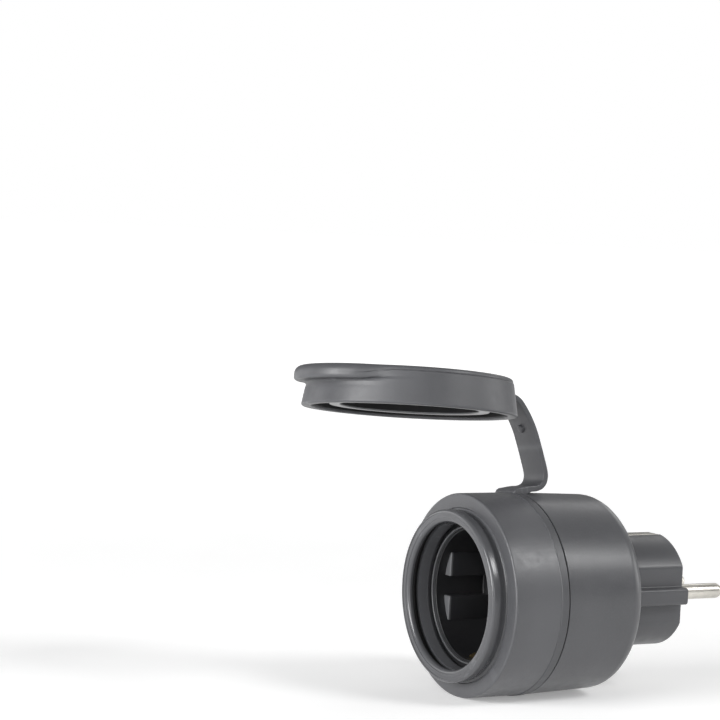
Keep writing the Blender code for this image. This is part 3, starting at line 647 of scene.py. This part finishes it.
def painted_seam_shadow():
    """A black ring at the bottom of the seam behind the band: painted shadow that keeps the seam a fine dark line.
    """
    seal_r = BODY_R - 0.0010
    inner_r = seal_r - 0.0014
    front, back = BAND_END - 0.0004, SEAM - 0.00002
    turned("seam_shadow_ring", "rubber_black", [
        (seal_r, front, 0.0001),
        (seal_r, back, 0.0),
        (inner_r, back, 0.0),
        (inner_r, front, 0.0),
    ], "housing")


def side_button():
    """The round push button with a dished top, and the light guide beside it."""
    place, length = axis_place((BUTTON_HIGH.x, BUTTON_DEPTH, 0.0),
                               (BUTTON_LOW.x, BUTTON_DEPTH, 0.0))
    dish = length - 0.0003
    button_r = BUTTON_HOLE_R - 0.0004
    flange_r = (BUTTON_HIGH.z - BUTTON_LOW.z) / 2.0
    turned("push_button", "rubber_grey", [
        (0.0, 0.0, 0.0),
        (flange_r, 0.0, 0.0001),
        (flange_r, 0.0008, 0.0001),
        (button_r, 0.0010, 0.0002),
        (button_r, dish, 0.0007),
        (0.0024, length, 0.0003),
        (0.0017, dish, 0.0008),
        (0.0, dish, 0.0),
    ], "button", MEDIUM, place, ("button_cap",))
    guide = bar("light_pipe", "plastic_clear", GUIDE_R, (GUIDE_HIGH.x, GUIDE_DEPTH, 0.0),
                (GUIDE_LOW.x, GUIDE_DEPTH, 0.0), 0.0002, 32)
    settle(guide, "housing", ("light_guide",))


# -------- socket

def recess():
    """The black cup that takes a plug: guide pads with lighter noses, pin holes, clip slots and a fine lighter
    rim; the noses and the rim are painted highlight.
    """
    cup = turned("recess_cup", "plastic_black", [
        (INSERT_R, INSERT_FRONT, 0.0003),
        (INSERT_R, INSERT_END, 0.0),
        (0.0, INSERT_END, 0.0),
        (0.0, RECESS_FLOOR, 0.0),
        (RECESS_R, RECESS_FLOOR, 0.0004),
        (RECESS_R, INSERT_FRONT, 0.0002),
    ])
    pin_hole_r = PIN_R + 0.0004
    slot_half, slot_low, slot_high = 0.0027, 0.0180, 0.0196
    for side in (-1.0, 1.0):
        cut(cup, bar("pin_hole", "plastic_black", pin_hole_r,
                     (side * PIN_HALF_SPACING, RECESS_FLOOR - 0.002, 0.0),
                     (side * PIN_HALF_SPACING, INSERT_END + 0.002, 0.0), 0.0, COARSE))
        cut(cup, block("clip_slot", "plastic_black", (-slot_half, slot_half),
                       (RECESS_FLOOR - 0.0010, INSERT_END + 0.0010),
                       (side * slot_low, side * slot_high)))
    settle(cup, "housing", ("socket_insert",))
    nose, nose_proud = 0.0010, 0.00003
    pad_root_x, nose_root_x, pad_fillet = 0.0212, 0.0206, 0.0003
    for side in (-1.0, 1.0):
        for half in (-1.0, 1.0):
            where = side_name(side) + "_" + side_name(half, "low", "high")
            z_range = (half * PAD_LOW, half * PAD_HIGH)
            pad = block("guide_pad_" + where, "plastic_black",
                        (side * PAD_FACE_X, side * pad_root_x),
                        (PAD_START + nose / 2.0, RECESS_FLOOR + 0.0006), z_range, pad_fillet)
            settle(pad, "housing", ("socket_insert",))
            # Each pad's front end is a lighter grey nose: a painted highlight where the black plastic faces the
            # front light.
            tip = block("guide_nose_" + where, "pad_grey",
                        (side * (PAD_FACE_X - nose_proud), side * nose_root_x),
                        (PAD_START, PAD_START + nose), z_range, pad_fillet)
            settle(tip, "housing", ("socket_insert",))
    entry_r, entry_front, entry_back = 0.0041, RECESS_FLOOR - 0.00025, RECESS_FLOOR + 0.0004
    for side in (-1.0, 1.0):
        turned("pin_entry_" + side_name(side), "pad_grey", [
            (entry_r, entry_front, 0.00015),
            (entry_r, entry_back, 0.0),
            (pin_hole_r, entry_back, 0.0),
            (pin_hole_r, entry_front, 0.0002),
        ], "housing", MEDIUM, pin_place(side))
    # The fine rim in front of the cup is lighter grey: a painted highlight on the black insert's front edge.
    rim_r, rim_front, rim_back = RECESS_R + 0.0012, INSERT_FRONT - 0.0010, INSERT_FRONT + 0.0002
    turned("recess_rim", "pad_grey", [
        (rim_r, rim_front, 0.0002),
        (rim_r, rim_back, 0.0),
        (RECESS_R + 0.0007, rim_back, 0.0),
        (RECESS_R + 0.0006, rim_front, 0.0002),
    ], "housing")


def earth_clips():
    """Sprung earth contacts in the recess, with rounded edges and a nose bent outwards."""
    path = [(0.0110, 0.0193), (0.0125, 0.0186), (0.0160, 0.0178), (0.0195, 0.0178),
            (0.0230, 0.0186), (0.0258, 0.0189), (0.0289, 0.0189)]
    half_width, thickness, fillet = 0.0022, 0.0005, 0.00012
    for side in (-1.0, 1.0):
        name = side_name(side, "bottom", "top")
        centre = [(depth, side * height) for depth, height in path]
        vertices, faces = strip_mesh(smooth_path(centre, 5), half_width, thickness, fillet, 2)
        clip = new_piece("earth_spring_" + name, vertices, faces, "metal_brass")
        settle(clip, "housing", ("earth_clip_" + name,))


# -------- band, strap and lid

def strip_section(half_width, thickness, fillet, arc):
    """A rounded rectangle as (across, along the normal) points."""
    thinnest, fillet_share = 0.00005, 0.49
    thickness = max(thickness, thinnest)
    fillet = min(fillet, thickness * fillet_share)
    corners = ((1.0, 1.0, 0.0), (-1.0, 1.0, 90.0), (-1.0, -1.0, 180.0), (1.0, -1.0, 270.0))
    points = []
    for side, face, start in corners:
        points += arc_points(side * (half_width - fillet), face * (thickness / 2.0 - fillet),
                             fillet, start, 90.0, arc)
    return points


def strip_mesh(path, half_width, thickness, fillet, arc=4, shape=None):
    """A strip along a (depth, height) path; shape(i) may give width share, top and bottom."""
    half = thickness / 2.0
    sections = []
    for index, point in enumerate(path):
        ahead = path[min(index + 1, len(path) - 1)]
        behind = path[max(index - 1, 0)]
        along = (ahead - behind).normalized()
        normal = Vector((-along.y, along.x))
        width_share, top, bottom = shape(index) if shape else (1.0, half, half)
        section = []
        for across, out in strip_section(half_width * width_share, top + bottom, fillet, arc):
            place = point + normal * (out + (top - bottom) / 2.0)
            section.append((across, RIM_Y + place.x, place.y))
        sections.append(section)
    return loft(sections)


def band():
    """The rubber band between sleeve and rear housing, slightly proud, with soft edges."""
    inner_r = 0.0285
    outer_r = BODY_R + 0.00020
    band_back = BAND_END - 0.0001
    turned("strap_band", "rubber_grey", [
        (outer_r, BAND_START, STRAP_FILLET),
        (outer_r, band_back, STRAP_FILLET),
        (inner_r, band_back, 0.0),
        (inner_r, BAND_START, 0.0),
    ], "housing", replaces=("strap_ring",))


def strap():
    """The strap from its rounded foot on the band up to the lid, bending at both ends."""
    knots = [(0.0216, 0.03130), (0.0230, 0.03140), (0.0246, 0.03155), (0.0262, 0.0318),
             (0.0280, 0.0320), (0.0300, 0.0321), (0.0318, 0.0327), (0.0330, 0.0339),
             (0.0335, 0.0356), (0.0334, 0.0374), (0.0326, 0.0405), (0.0313, 0.0450),
             (0.0296, 0.0502), (0.0275, 0.0545), (0.0251, 0.0581), (0.0236, 0.0595),
             (0.0221, 0.0602), (0.0206, 0.0605)]
    spans = 6
    path = smooth_path(knots, spans)
    split = spans * 11               # the upper piece starts at knots[11]
    flat_end, nose_end, foot_last = spans * 2, spans * 4, spans * 6
    nose, nose_width = 0.0022, 0.88
    foot_depth = 0.0008
    foot_start, foot_end = 0.0252, 0.0288
    half = STRAP_THICKNESS / 2.0

    def rounded_foot(index):
        """Width share, top and bottom of the foot: a round nose, and thick where it rests."""
        share = min(1.0, (path[index].x - path[0].x) / nose) if index < nose_end else 1.0
        rise = math.sqrt(max(0.0, 1.0 - (1.0 - share) ** 2))
        rests = 1.0 if index < flat_end else 0.0
        if rests == 0.0 and index < foot_last:
            rests = 1.0 - ease((path[index].x - foot_start) / (foot_end - foot_start))
        return (nose_width + (1.0 - nose_width) * rise, half * (2.0 * rise - 1.0),
                half + foot_depth * rests)

    # Name, path, shape, the two bodies at the piece's ends, and the (depth, height) where its
    # curve starts and ends.
    pieces = (("strap_lower", path[:split + 1], rounded_foot, "housing", "strap",
               (0.0268, 0.0315), (0.0335, 0.0380)),
              ("strap_upper", path[split:], None, "strap", "lid",
               (0.0276, 0.0540), (0.0240, 0.0591)))
    for name, part, shape, first, second, start, end in pieces:
        vertices, faces = strip_mesh(part, STRAP_HALF_WIDTH, STRAP_THICKNESS, STRAP_FILLET, 4,
                                     shape)
        piece = new_piece(name, vertices, faces, "rubber_grey", BAND_FRAME)
        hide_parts("strap_arm")
        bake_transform(piece)

    stud_place, stud_root = Vector((0.0288, 0.0508)), 0.0003
    nearest = min(range(len(path)), key=lambda index: (path[index] - stud_place).length)
    along = (path[nearest + 1] - path[nearest - 1]).normalized()
    facing = Vector((-along.y, along.x))
    base = path[nearest] + facing * (half - stud_root)
    spot = Matrix.Translation(BAND_FRAME @ Vector((0.0, RIM_Y + base.x, base.y)))
    outward = (BAND_FRAME.to_3x3() @ Vector((0.0, facing.x, facing.y))).to_track_quat("Z", "Y")
    turned("strap_stud", "rubber_grey", [
        (0.0, 0.0, 0.0),
        (0.00135, 0.0, 0.0),
        (0.00125, 0.0011, 0.0006),
        (0.0, 0.0013, 0.0),
    ], "strap", MEDIUM, spot @ outward.to_matrix().to_4x4())


def tab_reach(angle):
    """Distance from the lid's middle to the tab's round edge in a direction."""
    return (-TAB_FORWARD * math.sin(angle)
            + math.sqrt((TAB_FORWARD * math.sin(angle)) ** 2 - TAB_FORWARD ** 2 + TAB_R ** 2))


def ease(share):
    """A soft step from 0 to 1."""
    share = max(0.0, min(1.0, share))
    return share * share * (3.0 - 2.0 * share)


def lid_section(angle):
    """The lid's closed (radius, height) section in one direction, wider where the tab is."""
    wall_mid = (LID_R + LID_TOP_R) / 2.0
    # soft rounds the corner where the tab leaves the wall; the tab's edge and its top fillet
    # are whole where the tab is this much wider than the wall.
    soft, full_tab, full_fillet = 0.0018, 0.0036, 0.0040
    plain_fillet, more_on_tab = 0.0011, 0.0013
    foot_fillet = 0.0009
    root_fillet = 0.0008
    # A fine line below the top's edge, off the tab: how far out, and how far down.
    crease = ((0.00002, 0.00008), (-0.00010, 0.00022), (-0.00010, 0.00034))
    crease_end = 0.00050
    skirt_top = 0.0014
    excess = tab_reach(angle) - wall_mid
    excess = 0.5 * (excess + math.sqrt(excess ** 2 + soft ** 2))
    on_tab = ease(excess / full_tab)
    edge_r = LID_TOP_R + excess * on_tab
    top_fillet = plain_fillet + more_on_tab * ease(excess / full_fillet)

    def wall(height):
        """The radius of the wall, which narrows towards the top."""
        return LID_R + (LID_TOP_R - LID_R) * height / LID_HEIGHT

    points = []
    rings = 14
    rim = edge_r - top_fillet
    for number in range(rings + 1):
        radius = rim * number / rings
        points.append((radius, LID_HEIGHT + LID_CROWN * (1.0 - (number / rings) ** 2)))
    shoulder = LID_HEIGHT - top_fillet
    points += arc_points(rim, shoulder, top_fillet, 90.0, -90.0, 8)[1:]
    on_wall = 1.0 - on_tab
    points += [(edge_r + out * on_wall, shoulder - drop) for out, drop in crease]
    start = shoulder - crease_end
    tabbed = [(edge_r, start)]
    for number in range(1, 3):
        tabbed.append((edge_r, start + (TAB_FOOT + foot_fillet - start) * number / 3.0))
    tabbed += arc_points(edge_r - foot_fillet, TAB_FOOT + foot_fillet, foot_fillet,
                         0.0, -90.0, 4)
    root_r = wall(TAB_FOOT) + root_fillet
    for number in range(1, 4):
        share = number / 4.0
        tabbed.append((edge_r - foot_fillet + (root_r - edge_r + foot_fillet) * share,
                       TAB_FOOT))
    tabbed += arc_points(root_r, TAB_FOOT - root_fillet, root_fillet, 90.0, 90.0, 4)
    last = len(tabbed) - 1
    for number, (radius, height) in enumerate(tabbed):
        plain_z = start + (TAB_FOOT - root_fillet - start) * number / last
        plain = Vector((wall(plain_z), plain_z))
        points.append(tuple(plain.lerp(Vector((radius, height)), on_tab)))
    for number in range(1, 5):
        height = (TAB_FOOT - root_fillet) * (1.0 - number / 5.0)
        points.append((wall(height), height))
    lower = outline([(wall(skirt_top), skirt_top, 0.0), (LID_R, 0.0, 0.0006),
                     (LID_INNER_R, 0.0, 0.0005), (LID_INNER_R, LID_CEILING, 0.0010),
                     (0.0, LID_CEILING, 0.0)], False)
    points += [tuple(point) for point in lower[1:]]
    return points


def lid():
    """The lid: one moulded cap whose top runs out into the finger tab."""
    vertices = []
    for number in range(LID_STEPS):
        angle = 2.0 * math.pi * number / LID_STEPS
        section = lid_section(angle)
        vertices += [(radius * math.cos(angle), radius * math.sin(angle), height)
                     for radius, height in section]
    count = len(section)
    faces = []
    for number in range(LID_STEPS):
        here = number * count
        there = ((number + 1) % LID_STEPS) * count
        faces += [(here + index, here + index + 1, there + index + 1, there + index)
                  for index in range(count - 1)]
    cap = new_piece("lid_cap", vertices, faces, "rubber_grey", LID_FRAME, LID_SHARP)
    settle(cap, "lid", ("lid_shell",))
    lug = block("lid_strap_lug", "rubber_grey", (-STRAP_HALF_WIDTH, STRAP_HALF_WIDTH),
                (0.0300, 0.0338), (0.0056, 0.0092), 0.0006, LID_FRAME)
    settle(lug, "lid", ("lid_shell",))


def lid_inside():
    """The black liner of the lid and the seal ring that presses on the rim, with a lighter grey lip that is
    painted reflection.
    """
    liner_r = LID_INNER_R - 0.0001
    liner_inner_r = liner_r - 0.0005
    top, ceiling, foot = LID_CEILING - 0.0001, LID_CEILING - 0.0010, 0.0007
    turned("lid_liner", "rubber_black", [
        (0.0, top, 0.0),
        (liner_r, top, 0.0010),
        (liner_r, foot, 0.0002),
        (liner_inner_r, foot, 0.0002),
        (liner_inner_r, ceiling, 0.0008),
        (0.0, ceiling, 0.0),
    ], "lid", FINE, LID_FRAME, ("lid_seal",))
    lip, lip_proud = 0.0005, 0.00004
    ring_root, ring_end = ceiling + 0.0002, RING_FOOT + lip / 2.0
    turned("lid_seal_ring", "rubber_black", [
        (RING_R, ring_root, 0.0),
        (RING_R, ring_end, 0.0),
        (RING_INNER_R, ring_end, 0.0),
        (RING_INNER_R, ring_root, 0.0),
    ], "lid", FINE, LID_FRAME, ("lid_seal",))
    # The lip on the black ring's foot is lighter grey: a painted reflection of the pale floor along its edge.
    turned("lid_seal_lip", "ring_grey", [
        (RING_R + lip_proud, RING_FOOT + lip, 0.0),
        (RING_R + lip_proud, RING_FOOT, 0.0003),
        (RING_INNER_R - lip_proud, RING_FOOT, 0.0003),
        (RING_INNER_R - lip_proud, RING_FOOT + lip, 0.0),
    ], "lid", FINE, LID_FRAME, ("lid_seal",))


# -------- plug

def plug_section():
    """The plug's outline in x and z: a round body, a flat each side and a rib on each flat."""
    flat_top = math.sqrt(PLUG_R ** 2 - PLUG_FLAT_X ** 2)
    corner = math.atan2(flat_top, PLUG_FLAT_X)
    side = [(PLUG_FLAT_X, flat_top, 0.0022), (PLUG_FLAT_X, RIB_HALF, 0.0004),
            (RIB_X, RIB_HALF, 0.0009), (RIB_X, -RIB_HALF, 0.0009),
            (PLUG_FLAT_X, -RIB_HALF, 0.0004), (PLUG_FLAT_X, -flat_top, 0.0022)]
    arc = 36
    corners = []
    for facing in (1.0, -1.0):
        corners += [(facing * x, facing * z, fillet) for x, z, fillet in side]
        for number in range(1, arc):
            angle = -corner - (math.pi - 2.0 * corner) * number / arc
            corners.append((facing * PLUG_R * math.cos(angle),
                            facing * PLUG_R * math.sin(angle), 0.0))
    return outline(corners)


def plug():
    """The moulded plug: fluted sides, softly rounded end, pin seats and earth grooves."""
    section = plug_section()
    count = len(section)
    normals = []
    for index in range(count):
        along = section[(index + 1) % count] - section[index - 1]
        normals.append(Vector((along.y, -along.x)).normalized())
    area = sum(section[i - 1].x * section[i].y - section[i].x * section[i - 1].y
               for i in range(count))
    outward = 1.0 if area > 0.0 else -1.0
    end_fillet = 0.0005
    rings = [(TAIL_END - 0.0020, 0.0), (TAIL_END + 0.0002, 0.0),
             (PLUG_END - end_fillet - SUPPORT, 0.0)]
    for number in range(5):
        turn = math.radians(90.0 * number / 4)
        rings.append((PLUG_END - end_fillet + end_fillet * math.sin(turn),
                      end_fillet * (1.0 - math.cos(turn))))
    sections = []
    for depth, inset in rings:
        sections.append([(point.x - outward * normal.x * inset, RIM_Y + depth,
                          point.y - outward * normal.y * inset)
                         for point, normal in zip(section, normals)])
    vertices, faces = loft(sections)
    body = new_piece("plug_moulding", vertices, faces, "plug_grey")
    groove_half, groove_start, groove_floor, groove_past = 0.0029, 0.0580, 0.0166, 0.0190
    gap, beyond = 0.0003, PLUG_END + 0.002
    for side in (-1.0, 1.0):
        cut(body, block("earth_groove", "plug_grey", (-groove_half, groove_half),
                        (groove_start, PLUG_END + 0.001),
                        (side * groove_floor, side * groove_past)))
        cut(body, bar("pin_seat", "plug_grey", PIN_R + gap,
                      (side * PIN_HALF_SPACING, PLUG_END - 0.0030, 0.0),
                      (side * PIN_HALF_SPACING, beyond, 0.0), 0.0, COARSE))
    earth_low, earth_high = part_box("earth_sleeve")
    earth_r = (earth_high.x - earth_low.x) / 2.0
    earth_z = (earth_high.z + earth_low.z) / 2.0
    cut(body, bar("earth_hole", "plug_grey", earth_r + gap, (0.0, PLUG_END - 0.013, earth_z),
                  (0.0, beyond, earth_z), 0.0, COARSE))
    settle(body, "housing", ("plug_body",))
    tube_start, tube_end = PLUG_END - 0.0125, earth_high.y - RIM_Y
    tube_inner_r = earth_r - 0.0006
    turned("earth_tube", "metal_nickel", [
        (earth_r, tube_start, 0.0),
        (earth_r, tube_end, 0.0002),
        (tube_inner_r, tube_end, 0.0002),
        (tube_inner_r, tube_start, 0.0),
    ], "housing", MEDIUM, Matrix.Translation((0.0, 0.0, earth_z)) @ BODY_FRAME,
           ("earth_sleeve",))


def pins():
    """Solid plated pins with domed tips, seated a little inside the plug's end."""
    foot = PLUG_END - 0.0028
    for name, side in (("pin_live", 1.0), ("pin_neutral", -1.0)):
        turned("plated_" + name, "metal_nickel", [
            (0.0, foot, 0.0),
            (PIN_R, foot, 0.0),
            (PIN_R, PIN_TIP, 0.0019),
            (0.0, PIN_TIP, 0.0),
        ], "housing", MEDIUM, pin_place(side), (name,))


def earth_strips():
    """The sprung earth strips on the plug's top and bottom."""
    for name in ("top", "bottom"):
        low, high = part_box("earth_strip_" + name)
        strip = block("earth_blade_" + name, "metal_nickel", (low.x, high.x),
                      (low.y - RIM_Y, high.y - RIM_Y), (low.z, high.z), 0.0002)
        settle(strip, "housing", ("earth_strip_" + name,))


# -------- inside pieces

def shutter_spring():
    """The wound return spring, made at one length; the real spring shortens as the shutter comes down."""
    spring_low, spring_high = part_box("shutter_spring")
    wire_r = 0.00015
    turns, steps, arc = 5, 24, 10
    coil_r = (spring_high.y - spring_low.y) / 2.0 - wire_r
    middle = (spring_low + spring_high) / 2.0
    foot, top = spring_low.z + wire_r, spring_high.z - wire_r
    sections = []
    for step in range(turns * steps + 1):
        angle = 2.0 * math.pi * step / steps
        outward = Vector((math.cos(angle), math.sin(angle), 0.0))
        height = foot + (top - foot) * step / (turns * steps)
        centre = Vector((middle.x, middle.y, height)) + outward * coil_r
        section = []
        for number in range(arc):
            turn = 2.0 * math.pi * number / arc
            section.append(centre + outward * (wire_r * math.cos(turn))
                           + Vector((0.0, 0.0, wire_r * math.sin(turn))))
        sections.append(section)
    vertices, faces = loft(sections)
    spring = new_piece("shutter_coil", vertices, faces, "metal_steel")
    settle(spring, "housing", ("shutter_spring",))
    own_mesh(spring)


def dress_inside():
    """Give every CAD node a procedural material, by its record slot."""
    for entry in frame["record"]["subparts"]:
        node = NODES[entry["node"]]
        node.data.materials.clear()
        node.data.materials.append(MATERIALS[entry["material_slot"]])


# -------- stage, light and camera

def stage():
    """A pale floor that the housing stands on, brighter away from the object."""
    size = 30.0
    floor_z = CAD_LOW.z
    glow_near, glow_far, near, far = 0.25, 0.90, 0.30, 2.4
    look = Look("floor_white")
    tone = look.ramp(look.noise(3.0), (0.84, 0.84, 0.84), (0.87, 0.87, 0.87))
    rough = look.span(look.noise(40.0), 0.55, 0.65)
    look.finish(tone, rough, None, Emission_Color=WHITE, Specular_IOR_Level=0.2)
    reach = look.node("ShaderNodeVectorMath")
    reach.operation = "LENGTH"
    look.link(look.coordinates(), reach.inputs[0])
    glow = look.span(reach.outputs["Value"], glow_near, glow_far, near, far)
    look.link(glow, look.shader.inputs["Emission Strength"])
    corners = [(x * size, y * size, floor_z) for x, y in ((-1, -1), (1, -1), (1, 1), (-1, 1))]
    new_piece("floor", corners, [(0, 1, 2, 3)], "floor_white")


# Name, azimuth and elevation in degrees, width and height, and radiance.
SOFTBOXES = (
    ("front_softbox", -88.0, 15.0, 1.08, 1.20, 18.5),
    ("front_fill", -66.0, 24.0, 1.08, 1.20, 4.2),
    ("mouth_fill", -149.0, 7.0, 1.10, 0.60, 3.0),
    ("camera_fill", -30.0, 14.0, 1.26, 1.20, 3.6),
    ("side_softbox", 38.0, 39.0, 0.85, 0.80, 16.0),
    ("rear_fill", 75.0, 14.0, 1.26, 1.20, 3.0),
    ("back_fill", 120.0, 30.0, 1.26, 1.26, 1.5),
)


def softbox(name, azimuth, elevation, width, height, radiance):
    """A rectangular studio light that faces the middle of the object."""
    centre = (CAD_LOW + CAD_HIGH) / 2.0
    distance = 2.85
    lamp = bpy.data.lights.new(name, "AREA")
    lamp.shape = "RECTANGLE"
    lamp.size, lamp.size_y = width, height
    lamp.energy = radiance * math.pi * width * height
    light = bpy.data.objects.new(name, lamp)
    turn, rise = math.radians(azimuth), math.radians(elevation)
    towards = Vector((math.cos(turn) * math.cos(rise), math.sin(turn) * math.cos(rise),
                      math.sin(rise)))
    light.location = centre + towards * distance
    light.rotation_euler = towards.to_track_quat("Z", "Y").to_euler()
    light.visible_camera = False
    bpy.context.scene.collection.objects.link(light)


def studio():
    """Even light from the room, a white backdrop, and the softboxes."""
    room_strength = 0.26
    world = bpy.data.worlds.new("studio")
    world.use_nodes = True
    nodes, links = world.node_tree.nodes, world.node_tree.links
    room = nodes["Background"]
    room.inputs["Color"].default_value = WHITE
    room.inputs["Strength"].default_value = room_strength
    backdrop = nodes.new("ShaderNodeBackground")
    backdrop.inputs["Strength"].default_value = 1.0
    backdrop.inputs["Color"].default_value = WHITE
    chooser = nodes.new("ShaderNodeMixShader")
    ray = nodes.new("ShaderNodeLightPath")
    links.new(ray.outputs["Is Camera Ray"], chooser.inputs["Fac"])
    links.new(room.outputs["Background"], chooser.inputs[1])
    links.new(backdrop.outputs["Background"], chooser.inputs[2])
    links.new(chooser.outputs["Shader"], nodes["World Output"].inputs["Surface"])
    bpy.context.scene.world = world
    for values in SOFTBOXES:
        softbox(*values)


def camera():
    """A long lens in front and to the right, a little above the body."""
    standpoint = (0.61797, -0.47161, 0.11011)
    right = Vector((0.500393, 0.864442, 0.048456))
    up = Vector((-0.071542, -0.014492, 0.997333))
    backward = right.cross(up)
    lens = bpy.data.cameras.new("camera")
    lens.lens = 121.93
    lens.sensor_width = 36.0
    lens.clip_start = 0.05
    lens.clip_end = 100.0
    view = bpy.data.objects.new("camera", lens)
    rotation = Matrix((right, up, backward)).transposed()
    view.matrix_world = Matrix.Translation(standpoint) @ rotation.to_4x4()
    bpy.context.scene.collection.objects.link(view)
    bpy.context.scene.camera = view
    bpy.context.scene.view_settings.view_transform = "Standard"


collar()
sleeve()
tail()
painted_seam_shadow()
side_button()
recess()
earth_clips()
band()
strap()
lid()
lid_inside()
plug()
pins()
earth_strips()
shutter_spring()
dress_inside()
stage()
studio()
camera()
